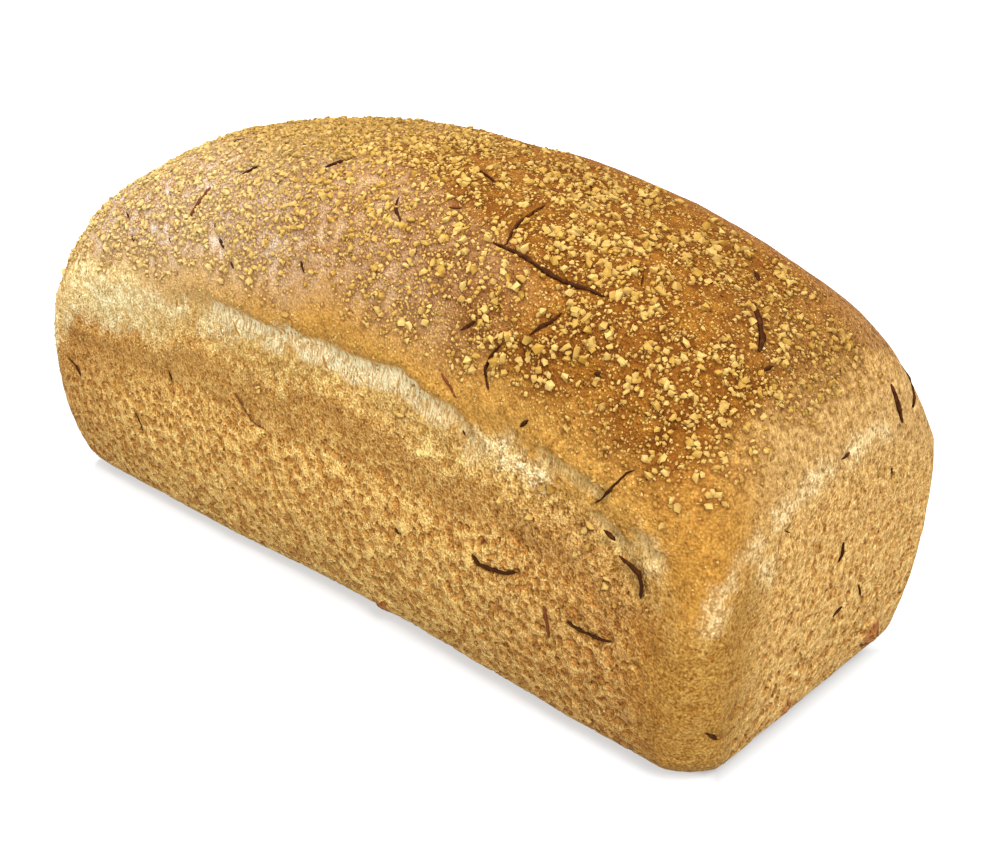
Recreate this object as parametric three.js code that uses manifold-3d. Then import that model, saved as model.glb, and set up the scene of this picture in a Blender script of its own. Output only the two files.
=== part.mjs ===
// A tin-baked carrot loaf: one solid piece of bread, with corn grits and carrot shreds baked onto its crust.
// Millimetres, +Z up. The origin is the middle of the flat base, and the loaf lies along X.
import * as THREE from 'three';
import { mergeVertices } from 'three/addons/utils/BufferGeometryUtils.js';
import Module from 'manifold-3d';

// The tin-shaped lower part, up to the brow where the walls turn into the crown
const BROW_LENGTH = 240;
const BROW_WIDTH = 98;
const BROW_HEIGHT = 47;
const BASE_LENGTH = 233.2;
const BASE_WIDTH = 85.6;
const BASE_EDGE_RADIUS = 8;
const CORNER_RADIUS = 9.5;
const SIDE_SWELL = 4.2;
const END_SWELL = 1.5;

// The long walls are drawn in near the base, about mid-length
const WAIST_DEPTH = 3;
const WAIST_PLACE = 15;
const WAIST_REACH = 45;

// The risen crown
const LOAF_HEIGHT = 115;
const END_DROP = 0.4;
const ROUNDNESS_ALONG = 14;
const ROUNDNESS_ACROSS = 3.6;

// Soft swells and dents of the crown
const CROWN_SWELLS = [
  { x: -97, y: -21, radius: 16, height: -1.8 },
  { x: -70, y: -5, radius: 15, height: 1.6 },
  { x: 8, y: 23, radius: 16, height: -1 },
  { x: 56, y: 26, radius: 18, height: 0.3 },
  { x: 90, y: 30, radius: 14, height: -0.6 },
];

// The torn break that runs along each long side, highest at mid-length
const BREAK_HEIGHT = 69;
const BREAK_END_DROP = 15;
const BREAK_HALF_LENGTH = 112;
const BREAK_RADIUS = 9;
const BREAK_DEPTH = 1.7;
const BREAK_WAVER = 1.5;
const BREAK_STEPS = 18;
const BREAK_SIDES = 10;

// Corn grits, largest first, on the front and middle of the crown
const GRIT_COUNT = 130;
const GRIT_LARGEST = 2.2;
const GRIT_SMALLEST = 1.4;
const GRIT_GAP = 2.2;
const GRIT_FLATNESS = 0.8;
const GRIT_ROUGHNESS = 0.22;
const GRIT_SINK = 0.15;
const GRIT_ZONE = { left: -100, right: 110, front: -44, back: 20, lowest: 84 };
const GRIT_SEED = 7;

// Carrot shreds: thin strips, sunk to about half their thickness
const SHRED_RADIUS = 1.1;
const SHRED_SIDES = 5;
const SHRED_STEP = 5;
const SHRED_SINK = 0.35;

// The ends and bends of the larger shreds: [x, y] looking down on the crown
const CROWN_SHREDS = [
  [[45, -30], [56, -31], [75, -29]],
  [[46, -26], [47, -20], [45, -13]],
  [[-17, -27], [-7, -22]],
  [[-66, -17], [-60, -13]],
  [[-45, -32], [-37, -28]],
  [[-51, -34], [-58, -40]],
  [[-46, -40], [-38, -42]],
  [[-89, -37], [-80, -41]],
  [[11, -30], [19, -34]],
  [[22, -11], [32, -15]],
  [[62, -39], [69, -34]],
  [[79, -24], [75, -15]],
  [[95, -3], [103, -12]],
  [[87, 9], [91, 4]],
];

// [x, z] looking at the front wall
const FRONT_SHREDS = [
  [[57, 88], [54, 82], [56, 77]],
  [[42, 79], [49, 73]],
  [[96, 73], [88, 64]],
  [[96, 55], [101, 53], [103, 46]],
  [[56, 39], [60, 37], [67, 38], [73, 41]],
  [[85, 36], [89, 34], [94, 33], [99, 35]],
  [[78, 36], [80, 27]],
  [[-109, 41], [-101, 35]],
  [[-59, 50], [-54, 42]],
  [[-30, 53], [-23, 46], [-16, 45]],
  [[-77, 34], [-72, 24]],
];

// [y, z] looking at the end wall
const END_SHREDS = [
  [[25, 76], [29, 64]],
  [[0, 66], [7, 67]],
  [[3, 47], [1, 40]],
  [[5, 29], [0, 26]],
];

// Lumps of dough near the base edge: [x, z] on the front wall and [y, z] on the end wall
const FRONT_LUMPS = [[20, 7]];
const END_LUMPS = [[24, 8], [-12, 7]];
const LUMP_RADIUS = 2.6;

// Faces of the loaf along its length, across it and up its walls
const FACES_ALONG = 40;
const FACES_ACROSS = 18;
const FACES_UP = 8;
const BASE_CROWDING = 1.6;

// Where the lines that find the surface start, clear of the loaf
const CLEAR = 300;

const wasm = await Module();
wasm.setup();

const raycaster = new THREE.Raycaster();

// A repeatable source of random numbers from 0 to 1.
function seededRandom(seed) {
  let state = seed;
  return () => {
    state = (state * 1664525 + 1013904223) % 4294967296;
    return state / 4294967296;
  };
}

// The walls' half length and half width from the base (level 0) to the brow (level 1).
// A share of -1 or 1 is at the loaf's ends.
function wallHalfSizes(level, alongShare) {
  const swell = 4 * level * (1 - level);
  const below = Math.max(0, BASE_EDGE_RADIUS - level * BROW_HEIGHT);
  const inset = BASE_EDGE_RADIUS - Math.sqrt(BASE_EDGE_RADIUS ** 2 - below ** 2);
  const fromWaist = ((alongShare * BASE_LENGTH) / 2 - WAIST_PLACE) / WAIST_REACH;
  const waist = WAIST_DEPTH * (1 - level) ** 2 * Math.exp(-(fromWaist ** 2));
  return {
    along: THREE.MathUtils.lerp(BASE_LENGTH, BROW_LENGTH, level) / 2 + END_SWELL * swell - inset,
    across: THREE.MathUtils.lerp(BASE_WIDTH, BROW_WIDTH, level) / 2 + SIDE_SWELL * swell - inset - waist,
  };
}

// The point of a rounded rectangle that a square's edge point (u, v) goes to.
function outlinePoint(u, v, half) {
  const x = u * half.along;
  const y = v * half.across;
  const innerX = THREE.MathUtils.clamp(x, CORNER_RADIUS - half.along, half.along - CORNER_RADIUS);
  const innerY = THREE.MathUtils.clamp(y, CORNER_RADIUS - half.across, half.across - CORNER_RADIUS);
  const outward = new THREE.Vector2(x - innerX, y - innerY).setLength(CORNER_RADIUS);
  return outward.add(new THREE.Vector2(innerX, innerY));
}

// The crown's height over a place within the brow.
function crownHeight(x, y) {
  const s = Math.abs(x) / (BROW_LENGTH / 2);
  const t = Math.abs(y) / (BROW_WIDTH / 2);
  const round = Math.max(0, 1 - s ** ROUNDNESS_ALONG) * Math.max(0, 1 - t ** ROUNDNESS_ACROSS);
  return BROW_HEIGHT + (LOAF_HEIGHT - BROW_HEIGHT) * (1 - END_DROP * s * s) * Math.sqrt(round);
}

// How far the crown's soft swells lift it over a place.
function crownSwell(x, y) {
  return CROWN_SWELLS.reduce((lift, swell) => {
    const far = ((x - swell.x) ** 2 + (y - swell.y) ** 2) / swell.radius ** 2;
    return lift + swell.height * Math.exp(-far);
  }, 0);
}

// The loaf's surface point for a point of the cube from -1 to 1: its sides become the walls,
// its top the crown and its bottom the flat base.
function loafPoint(u, v, w) {
  const ring = Math.max(Math.abs(u), Math.abs(v));
  if (ring === 0) {
    return new THREE.Vector3(0, 0, w < 0 ? 0 : crownHeight(0, 0) + crownSwell(0, 0));
  }
  const level = ((w + 1) / 2) ** BASE_CROWDING;
  const edge = outlinePoint(u / ring, v / ring, wallHalfSizes(level, u / ring));
  if (w === -1) {
    return new THREE.Vector3(edge.x * ring, edge.y * ring, 0);
  }
  if (w === 1) {
    edge.multiplyScalar(Math.sin((ring * Math.PI) / 2));
    return new THREE.Vector3(edge.x, edge.y, crownHeight(edge.x, edge.y) + crownSwell(edge.x, edge.y));
  }
  const brow = outlinePoint(u / ring, v / ring, wallHalfSizes(1, u / ring));
  return new THREE.Vector3(edge.x, edge.y, level * crownHeight(brow.x, brow.y));
}

// Only the places and the triangles of a geometry, with its shared corners merged.
function closedGeometry(geometry) {
  geometry.deleteAttribute('normal');
  geometry.deleteAttribute('uv');
  return mergeVertices(geometry);
}

function bareLoaf() {
  const geometry = closedGeometry(
    new THREE.BoxGeometry(2, 2, 2, FACES_ALONG, FACES_ACROSS, FACES_UP),
  );
  const place = geometry.getAttribute('position');
  const point = new THREE.Vector3();
  for (let i = 0; i < place.count; i += 1) {
    point.fromBufferAttribute(place, i);
    place.setXYZ(i, ...loafPoint(point.x, point.y, point.z));
  }
  return geometry;
}

function solidOf(geometry) {
  return new wasm.Manifold(
    new wasm.Mesh({
      numProp: 3,
      vertProperties: new Float32Array(geometry.getAttribute('position').array),
      triVerts: new Uint32Array(geometry.index.array),
    }),
  );
}

function geometryOf(solid) {
  const mesh = solid.getMesh();
  const geometry = new THREE.BufferGeometry();
  geometry.setAttribute('position', new THREE.BufferAttribute(mesh.vertProperties, 3));
  geometry.setIndex(new THREE.BufferAttribute(mesh.triVerts, 1));
  geometry.computeVertexNormals();
  return geometry;
}

// Where a line that starts clear of the loaf and runs in a direction first meets it.
function meet(loaf, start, direction) {
  raycaster.set(start, direction);
  const [hit] = raycaster.intersectObject(loaf);
  return hit;
}

function fromAbove(loaf, x, y) {
  return meet(loaf, new THREE.Vector3(x, y, CLEAR), new THREE.Vector3(0, 0, -1));
}

function fromFront(loaf, x, z) {
  return meet(loaf, new THREE.Vector3(x, -CLEAR, z), new THREE.Vector3(0, 1, 0));
}

function fromBack(loaf, x, z) {
  return meet(loaf, new THREE.Vector3(x, CLEAR, z), new THREE.Vector3(0, -1, 0));
}

function fromEnd(loaf, y, z) {
  return meet(loaf, new THREE.Vector3(CLEAR, y, z), new THREE.Vector3(-1, 0, 0));
}

// A closed bar of round section along a smooth line through the points.
function bar(points, radius, sides, steps) {
  const section = new THREE.Shape();
  section.setFromPoints(
    Array.from({ length: sides }, (_, i) => {
      const angle = (i / sides) * 2 * Math.PI;
      return new THREE.Vector2(radius * Math.cos(angle), radius * Math.sin(angle));
    }),
  );
  const extrudePath = new THREE.CatmullRomCurve3(points);
  const geometry = new THREE.ExtrudeGeometry(section, { steps, extrudePath, bevelEnabled: false });
  return solidOf(closedGeometry(geometry));
}

// The hollow of the break on one long side: a round bar that dips into the wall, and out of it at its ends.
function breakHollow(loaf, look, waverStart) {
  const points = [];
  for (let i = 0; i <= BREAK_STEPS; i += 1) {
    const s = (2 * i) / BREAK_STEPS - 1;
    const x = BREAK_HALF_LENGTH * s;
    const waver = Math.sin(x / 9 + waverStart) + 0.6 * Math.sin(x / 4.3 + 2 * waverStart);
    const z = BREAK_HEIGHT - BREAK_END_DROP * s * s + BREAK_WAVER * waver;
    const hit = look(loaf, x, z);
    const depth = BREAK_DEPTH * (1 - 2 * s ** 6) * (1 + 0.25 * waver);
    points.push(hit.point.addScaledVector(hit.face.normal, BREAK_RADIUS - depth));
  }
  return bar(points, BREAK_RADIUS, BREAK_SIDES, BREAK_STEPS);
}

// A crumb of corn or dough: an uneven lump, flattened where it lies on the crust.
function crumb(hit, radius, random) {
  const geometry = closedGeometry(new THREE.IcosahedronGeometry(radius, 0));
  const place = geometry.getAttribute('position');
  const corner = new THREE.Vector3();
  for (let i = 0; i < place.count; i += 1) {
    corner.fromBufferAttribute(place, i).multiplyScalar(1 + GRIT_ROUGHNESS * (2 * random() - 1));
    place.setXYZ(i, ...corner);
  }
  geometry.rotateZ(random() * 2 * Math.PI);
  geometry.scale(1, 1, GRIT_FLATNESS);
  geometry.applyQuaternion(
    new THREE.Quaternion().setFromUnitVectors(new THREE.Vector3(0, 0, 1), hit.face.normal),
  );
  const centre = hit.point.clone().addScaledVector(hit.face.normal, -GRIT_SINK * radius);
  geometry.translate(...centre);
  return solidOf(geometry);
}

// The places of the grits, each clear of the ones before it and of the shreds.
function gritPlaces(loaf, taken, random) {
  const { left, right, front, back, lowest } = GRIT_ZONE;
  const places = [];
  while (places.length < GRIT_COUNT) {
    const x = THREE.MathUtils.lerp(left, right, random());
    const y = THREE.MathUtils.lerp(front, back, random());
    const hit = fromAbove(loaf, x, y);
    const radius = THREE.MathUtils.lerp(GRIT_LARGEST, GRIT_SMALLEST, places.length / GRIT_COUNT);
    const clear = (other) => other.point.distanceTo(hit.point) > radius + other.radius + GRIT_GAP;
    if (hit.point.z > lowest && taken.every(clear) && places.every(clear)) {
      places.push({ point: hit.point, radius, hit });
    }
  }
  return places;
}

// The points of one shred on the crust, about a step apart.
function shredPoints(loaf, look, marks) {
  const flat = new THREE.CatmullRomCurve3(marks.map(([a, b]) => new THREE.Vector3(a, b, 0)));
  const count = Math.max(2, Math.round(flat.getLength() / SHRED_STEP));
  return flat.getSpacedPoints(count).map(({ x, y }) => {
    const hit = look(loaf, x, y);
    return hit.point.addScaledVector(hit.face.normal, -SHRED_SINK * SHRED_RADIUS);
  });
}

function carrotLoaf() {
  const loaf = new THREE.Mesh(bareLoaf());
  const random = seededRandom(GRIT_SEED);
  const shreds = [
    ...CROWN_SHREDS.map((marks) => shredPoints(loaf, fromAbove, marks)),
    ...FRONT_SHREDS.map((marks) => shredPoints(loaf, fromFront, marks)),
    ...END_SHREDS.map((marks) => shredPoints(loaf, fromEnd, marks)),
  ];
  const taken = shreds.flat().map((point) => ({ point, radius: SHRED_RADIUS }));
  const toppings = [
    ...shreds.map((points) => bar(points, SHRED_RADIUS, SHRED_SIDES, points.length - 1)),
    ...gritPlaces(loaf, taken, random).map(({ hit, radius }) => crumb(hit, radius, random)),
    ...FRONT_LUMPS.map(([x, z]) => crumb(fromFront(loaf, x, z), LUMP_RADIUS, random)),
    ...END_LUMPS.map(([y, z]) => crumb(fromEnd(loaf, y, z), LUMP_RADIUS, random)),
  ];
  const torn = solidOf(loaf.geometry)
    .subtract(breakHollow(loaf, fromFront, 0.4))
    .subtract(breakHollow(loaf, fromBack, 2.1));
  return toppings.reduce((solid, topping) => solid.add(topping), torn);
}

const crust = new THREE.MeshStandardMaterial({ color: 0xc08b4b, roughness: 0.8, metalness: 0 });
const loafMesh = new THREE.Mesh(geometryOf(carrotLoaf()), crust);
loafMesh.name = 'loaf';

const bread = new THREE.Group();
bread.add(loafMesh);

export default bread;
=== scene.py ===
# Carrot bread: the crust, corn grits, corn meal and carrot shreds of a tin-baked loaf.
# Sizes in this script are millimetres unless a name says otherwise. The front is the -Y side.
import math
import random
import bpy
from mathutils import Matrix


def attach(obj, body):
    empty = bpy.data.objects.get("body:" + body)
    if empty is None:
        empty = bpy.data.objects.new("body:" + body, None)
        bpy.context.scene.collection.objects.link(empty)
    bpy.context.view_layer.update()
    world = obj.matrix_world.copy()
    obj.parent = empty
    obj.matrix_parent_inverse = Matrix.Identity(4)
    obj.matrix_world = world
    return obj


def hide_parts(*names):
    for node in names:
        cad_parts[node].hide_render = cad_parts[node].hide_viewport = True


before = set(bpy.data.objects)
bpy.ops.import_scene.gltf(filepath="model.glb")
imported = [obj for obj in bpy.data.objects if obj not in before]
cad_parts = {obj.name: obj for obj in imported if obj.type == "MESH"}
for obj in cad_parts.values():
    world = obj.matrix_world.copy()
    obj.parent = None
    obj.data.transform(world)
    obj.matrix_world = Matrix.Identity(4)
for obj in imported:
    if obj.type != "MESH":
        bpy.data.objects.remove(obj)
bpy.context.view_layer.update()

from types import SimpleNamespace

import bmesh
import bpy
from mathutils import Matrix, Vector
from mathutils.bvhtree import BVHTree

MM = 0.001

# The loaf's form: the tin-shaped walls up to the brow, then the risen crown
BROW_LENGTH = 240
BROW_WIDTH = 98
BROW_HEIGHT = 47
BASE_LENGTH = 233.2
BASE_WIDTH = 85.6
BASE_EDGE_RADIUS = 8
CORNER_RADIUS = 9.5
WAIST_DEPTH = 3
WAIST_PLACE = 15
WAIST_REACH = 45
SIDE_SWELL = 4.2
END_SWELL = 1.5
LOAF_HEIGHT = 115
END_DROP = 0.4
ROUNDNESS_ALONG = 14
ROUNDNESS_ACROSS = 3.6
FACES_ALONG = 268
FACES_ACROSS = 170
FACES_UP = 54
CUBE_TOP = 0.9999
BASE_FLATNESS_M = 1e-6

# Soft swells and dents of the crown: x, y, radius and height
CROWN_SWELLS = [
    (-97, -21, 16, -1.8),
    (-70, -5, 15, 1.6),
    (8, 23, 16, -1.0),
    (56, 26, 18, 0.3),
    (90, 30, 14, -0.6),
]

# The torn break, where the crown came away from the walls: its middle line and its hollow
BREAK_HEIGHT = 69
BREAK_END_DROP = 15
BREAK_HALF_LENGTH = 112
BREAK_HALF_WIDTH = 8.5
BREAK_DEPTH = 1.7
BREAK_ENDS = (110, 95)
BREAK_WAVER = 1.5
WAVE_LENGTH = 9
RIPPLE_LENGTH = 4.3
RIPPLE_SHARE = 0.6
FRONT_BREAK_START = 0.4
BACK_BREAK_START = 2.1
END_BREAK_HEIGHT = 65
END_BREAK_DROP = 16
END_BREAK_REACH = 46

# Parts of the loaf: a pair of numbers is where a soft step begins and where it is whole
FRONT_TO_BACK = (-5, 5)
FRONT_WALL = (-35, -45)
END_WALLS = (104, 116)
CORNER_ALONG = (96, 110)
CORNER_ACROSS = (-22, -42)
FLAT_BASE = (0.5, 5)

# Uneven crust: the sizes and heights of its lumps, dimples, pores, pinholes, grains and specks
LUMP_SIZE = 16
LUMP_HEIGHT = 0.45
DIMPLE_SIZE = 6
DIMPLE_HEIGHT = 0.2
PORE_WIDTH = 1.9
PORE_STRETCH = (1, 1, 1.5)
PORE_DEPTH = 0.45
# PORE_SHADE: how far up, in mm, the pores are looked up again for the painted shade at their tops and the
# painted light on the lips under them
PORE_SHADE = 0.6
PORE_OPENING = 0.42
PORE_OPENING_SPREAD = 0.28
PORE_EDGE = 0.6
PORE_BENDS = [(4, 2.4), (1.3, 0.7)]
POROUS_BELOW = (-8, -24)
CORNER_PORE_LOSS = 0.8
END_PORE_CHANCE = (0.55, 0.75)
PINHOLE_WIDTH = 0.9
PINHOLE_STRETCH = (1, 1, 1.3)
PINHOLE_DEPTH = 0.3
PINHOLE_EDGE = (0.6, 0.15)
PINHOLE_CHANCE = (0.2, 0.9)
PINHOLES_BELOW = (12, -10)
CROWN_PINHOLES = 0.4
CORNER_PINHOLE_LOSS = 0.6
GRAIN_SIZE = 0.62
GRAIN_EDGE = (0.85, 0.25)
GRAIN_HEIGHT = 0.3
MOTTLE_SIZE = 0.6
MOTTLE_HEIGHT = 0.3
BLOT_SIZE = 1.5
BLOT_HEIGHT = 0.3
SPOT_SIZE = 3
PATCH_SIZE = 13

# Dough lumps near the base edge: x, y, z, radius and height
DOUGH_LUMPS = [
    (119, 24, 12, 3.4, 2.6),
    (118, -12, 9, 2.0, 1.0),
    (20, -45, 7, 2.4, 1.6),
]

# The open tears in the break: the lip of the crown over each, as photo pixels, and the slit under it
TEAR_LIPS = [
    [(212, 299), (230, 308), (250, 318), (274, 330), (287, 322), (300, 336), (318, 341),
     (345, 354), (365, 361), (385, 365), (400, 369), (415, 384), (430, 397), (445, 403),
     (456, 412), (463, 427), (470, 442)],
    [(545, 451), (560, 462), (575, 470), (590, 480), (601, 488)],
    [(594, 514), (610, 526), (624, 545)],
    [(636, 530), (646, 540), (655, 556)],
]
SLIT_HEIGHT = 6.3
SLIT_HEIGHT_RIGHT = 6.5
SLIT_HEIGHT_CORNER = 3.4
SLIT_DEPTH = 1.1
SLIT_LEAST_DEPTH = 0.1
SLIT_DEEP_UNDER = 0.5
SLIT_TO_RIGHT = (-40, 60)
SLIT_TO_CORNER = (64, 80)
SLIT_CLOSING = (62, 82)
SLIT_CORNER_OPENING = 0.7
SLIT_SIDES = (3.5, 1.5)
SLIT_EDGE = 1
SLIT_RAGGED = 3
LIP_EDGE = 0.3
LIP_THICKNESS = 0.6
LIP_REACH = (4, 0.5)
LIP_HEIGHT = 0.5
STRAND_HEIGHT = 0.2
STRAND_WIDTH = 0.5
STRAND_STRETCH = (1, 1, 8)
STRAND_BEND = (4, 2)

# Where the crust stretched and stayed pale, as photo pixels
PALE_STREAKS = [
    [(96, 300), (130, 300), (150, 296), (165, 312), (182, 306)],
    [(200, 322), (220, 335), (245, 330), (262, 340), (282, 332)],
    [(478, 444), (492, 452), (505, 440)],
    [(500, 462), (524, 468), (540, 482)],
    [(644, 542), (652, 556), (650, 572)],
    [(712, 626), (716, 604), (726, 588), (738, 572), (752, 552), (760, 545)],
    [(764, 568), (772, 578)],
    [(778, 522), (800, 498), (815, 484), (832, 464)],
    [(852, 450), (866, 438), (880, 428), (894, 436)],
]
PALE_REACH = 4.5
BACK_TEAR_STEP = 3
BACK_TEAR_LIFT = 4
BACK_TEARS = [(-72, -8), (-2, 47), (60, 88)]

# Crumbs of corn: their uneven form, then how close the grits and the meal lie, and their radii
CRUMB_CROWDING = 0.6
CRUMB_FINENESS = 2.3
CRUMB_TILT = 0.5
CRUMB_TURN = 6.3
CRUMB_LENGTHS = (0.9, 1.35)
CRUMB_FLATNESS = 0.8
CRUMB_KNOB = 1.1
CRUMB_KNOB_HEIGHT = 1.9
GRIT_SPACING = 1.15
GRIT_SMALLEST = 0.4
GRIT_LARGEST = 1.35
FAR_GRITS = (60, 20)
FAR_GRIT_SHARE = 0.75
NEAR_GRITS = (85, 105)
NEAR_GRIT_SHARE = 0.7
GRIT_SEED = 7
GRIT_SIDES_AND_RINGS = (5, 3)
MEAL_SPACING = 0.95
MEAL_SMALLEST = 0.25
MEAL_LARGEST = 0.7
MEAL_SEED = 12
MEAL_SIDES_AND_RINGS = (4, 2)

# How thickly grits and meal lie: in clumps, from a height over the break, and thinning out to the back
CLUMP_SIZE = 12
SMALL_CLUMP_SIZE = 4
SMALL_CLUMP_SHARE = 1.2
CLUMP_LEVELS = (-0.3, 0.4)
CLUMP_SHARES = (0.06, 0.9)
THICK_LEVELS = (-0.3, 0.2)
THICK_LEAST = 0.25
THICK_SHARE = 0.8
BARE_SHARE = 0.95
LEFT_SIDE = (20, -50)
LEFT_GRITS = 0.35
GRITS_OVER_BREAK = (8, 22)
GRITS_TO_BACK = (24, 10)
BACK_EDGE_WAVE = 14
BACK_EDGE_WAVER = 9
FRONT_GRIT_SHARE = 0.18
MEAL_CLUMP_SIZE = 8
MEAL_LEVELS = (-0.35, 0.35)
MEAL_LEAST = 0.35
MEAL_OVER_BREAK = (-2, 14)
LEFT_MEAL_OVER_BREAK = (-16, 4)
MEAL_SHARE = 0.55
LEFT_MEAL_SHARE = 0.9

# Patches with more or fewer grits: x, y and radius on the crown, x, z and radius on the front wall
GRIT_THICK = [
    (-26, -14, 20), (-10, -28, 14), (-38, -30, 14), (14, -31, 12), (32, -36, 8), (10, -3, 22), (40, 4, 16),
    (63, -16, 9), (80, -23, 9), (100, 6, 12), (90, -36, 10), (104, -32, 9), (48, -36, 9), (106, -6, 12),
    (107, 12, 9),
]
FRONT_GRITS = [(97, 46, 6), (86, 58, 6), (70, 62, 5), (-22, 60, 5), (30, 62, 5)]
GRIT_BARE = [(60, -36, 4), (93, -13, 7), (82, -43, 9), (-6, -47, 12), (40, -45, 8)]

# Carrot shreds: radius, how deep they sit, and the furrow that each lies in
SHRED_RADIUS = 0.42
SHRED_SINK = 0.3
SHRED_STEP = 1.2
SHRED_SIDES = 7
SHRED_TAPER = 0.4
SHRED_TIP = 0.3
SHRED_KNOT_SIZE = 3.5
SHRED_KNOT_SHARE = 0.8
SHRED_WRINKLE_SIZE = 1.2
SHRED_WRINKLE_DEPTH = 0.6
SHRED_CLEARANCE = (0.5, 1.4)
FURROW_DEPTH = 0.5
FURROW_INNER = 0.4
FURROW_OUTER = 1.4

# The shreds that show: thickness, then their ends and bends in the photo, in pixels
SCORCHED_SHREDS = [
    (1.0, (545, 204), (531, 213), (518, 222), (511, 232), (506, 243), (500, 246)),
    (1.4, (493, 242), (506, 247), (524, 256), (546, 271), (560, 279), (575, 285), (590, 289), (608, 298)),
    (1.2, (325, 166), (340, 161), (357, 159)),
    (1.1, (233, 141), (249, 137)),
    (1.1, (242, 173), (260, 164)),
    (1.0, (213, 224), (216, 232)),
    (1.2, (219, 238), (225, 252)),
    (0.9, (230, 262), (234, 272)),
    (0.6, (300, 261), (304, 277)),
    (1.0, (126, 212), (130, 222)),
    (0.8, (131, 234), (134, 245)),
    (0.6, (336, 133), (341, 131)),
    (0.8, (398, 196), (395, 208), (402, 226)),
    (0.7, (480, 169), (502, 186)),
    (0.6, (586, 184), (598, 188)),
    (0.6, (633, 185), (643, 190)),
    (0.6, (523, 144), (537, 148)),
    (1.0, (460, 330), (468, 325), (478, 320)),
    (1.2, (529, 335), (540, 327), (550, 322), (564, 310)),
    (0.6, (504, 326), (513, 326)),
    (1.0, (502, 343), (490, 356), (484, 370), (488, 394)),
    (0.6, (521, 345), (527, 359)),
    (1.3, (594, 372), (603, 379)),
    (0.5, (641, 285), (645, 269)),
    (1.4, (755, 270), (761, 283)),
    (1.7, (755, 306), (760, 320), (763, 338), (760, 355)),
    (1.1, (763, 370), (778, 364)),
    (0.9, (721, 294), (727, 298)),
    (0.7, (793, 273), (799, 277)),
    (0.6, (824, 294), (830, 298)),
    (1.6, (892, 384), (898, 402), (905, 427)),
    (1.0, (843, 460), (854, 450)),
    (0.6, (633, 370), (643, 370)),
    (1.1, (519, 427), (530, 418)),
    (0.8, (634, 470), (626, 473), (612, 487), (600, 500), (591, 505)),
    (1.0, (603, 530), (612, 538), (617, 544)),
    (1.2, (618, 556), (630, 566), (638, 574), (641, 588), (639, 603)),
    (1.1, (471, 555), (477, 564), (488, 569), (505, 574), (520, 572)),
    (1.0, (566, 621), (575, 629), (588, 635), (600, 640), (614, 643)),
    (0.9, (394, 528), (400, 538)),
    (0.6, (67, 357), (75, 366), (82, 380)),
    (0.8, (143, 391), (148, 387)),
    (0.5, (168, 371), (172, 386)),
    (0.5, (133, 410), (140, 425), (144, 438)),
    (0.6, (312, 453), (316, 459)),
    (1.1, (845, 543), (843, 556), (838, 566)),
    (1.1, (843, 607), (836, 614), (832, 620)),
    (0.9, (787, 531), (795, 534)),
    (0.7, (860, 585), (861, 592), (862, 601)),
    (1.2, (706, 734), (712, 737), (721, 742)),
    (0.6, (217, 238), (221, 247)),
    (0.6, (168, 236), (171, 246)),
    (0.6, (462, 430), (466, 440)),
    (0.5, (893, 466), (893, 484)),
]
REDDISH_SHREDS = [
    (1.7, (210, 187), (198, 203), (188, 218)),
    (0.9, (551, 188), (570, 195)),
    (0.9, (440, 373), (449, 386), (458, 403)),
    (0.7, (449, 206), (466, 207)),
    (0.9, (480, 545), (484, 535)),
    (0.9, (543, 606), (546, 624), (549, 642)),
    (0.5, (234, 393), (243, 409), (252, 422), (266, 431)),
    (0.8, (667, 595), (671, 600)),
    (0.7, (632, 663), (637, 668)),
]
# Strands of browned crust that bridge the tears
BROWNED_STRANDS = [
    (0.7, (322, 356), (325, 366), (330, 374)),
    (0.6, (358, 376), (365, 386)),
    (0.9, (389, 367), (393, 374)),
    (0.9, (435, 402), (437, 409)),
    (0.8, (543, 452), (544, 464)),
    (0.5, (553, 478), (557, 487)),
    (1.0, (197, 318), (199, 327)),
    (0.6, (232, 320), (236, 330), (241, 340)),
    (0.7, (283, 350), (284, 357)),
    (0.7, (291, 350), (294, 356)),
    (0.6, (220, 326), (220, 338)),
    (0.6, (176, 300), (175, 312)),
]
PIXELS_PER_STEP = 4

# The shreds on the sides that don't show
HIDDEN_SHRED_COUNT = 34
HIDDEN_SHRED_SEED = 5
HIDDEN_THICKNESS = (0.5, 1.4)
HIDDEN_LOWEST = 8
HIDDEN_STEPS = (5, 14)
HIDDEN_BEND = 0.12
HIDDEN_SCORCHED_SHARE = 0.75
HIDDEN_STARTS_M = [(-0.1, 0.1), (0, 0.02), (0.02, 0.07)]
HIDDEN_OUTWARD = [(-1, 1), (-0.2, 1), (0.1, 1)]
ANY_WAY = [(-1, 1), (-1, 1), (-1, 1)]

# How scorched a shred is
SCORCHED = 1.0
REDDISH = 0.5
BROWNED = 0.0

# Colours of the bread as they look in the photo, from 0 to 255, and how much light falls on it
LIGHT_ON_WALLS = 1.9
LIGHT_ON_CROWN = 2.15
WALL_RIDGE = (248, 210, 128)
WALL_HONEY = (217, 159, 79)
WALL_PIT = (180, 108, 46)
WALL_DEEP = (122, 68, 26)
WALL_TOASTED = (170, 103, 42)
BLOTCH_BROWN = (146, 84, 36)
CORNER_GOLD = (177, 121, 47)
END_SAND = (202, 148, 76)
BAND_BROWN = (183, 125, 56)
BASE_BROWN = (140, 86, 38)
LUMP_RED = (150, 84, 44)
TORN_CREAM = (255, 238, 188)
TORN_SHADE = (200, 152, 82)
TORN_WARM = (244, 208, 138)
CRUMB_PALE = (232, 194, 118)
CRUMB_BROWN = (190, 140, 70)
PALE_CRUST = (247, 230, 178)
STREAK_GOLD = (248, 224, 168)
GOLD = (197, 143, 66)
FAR_GOLD = (213, 168, 102)
END_GOLD = (205, 159, 94)
CROWN_GOLD = (173, 113, 39)
CROWN_BROWN = (128, 73, 21)
CROWN_LILAC = (255, 236, 216)
CROWN_MAUVE = (210, 170, 132)
CROWN_BLUSH = (222, 183, 138)
CROWN_ROSE = (184, 135, 82)
CROWN_PAINTED_GRIT_SHADE = (150, 94, 38)
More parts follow.
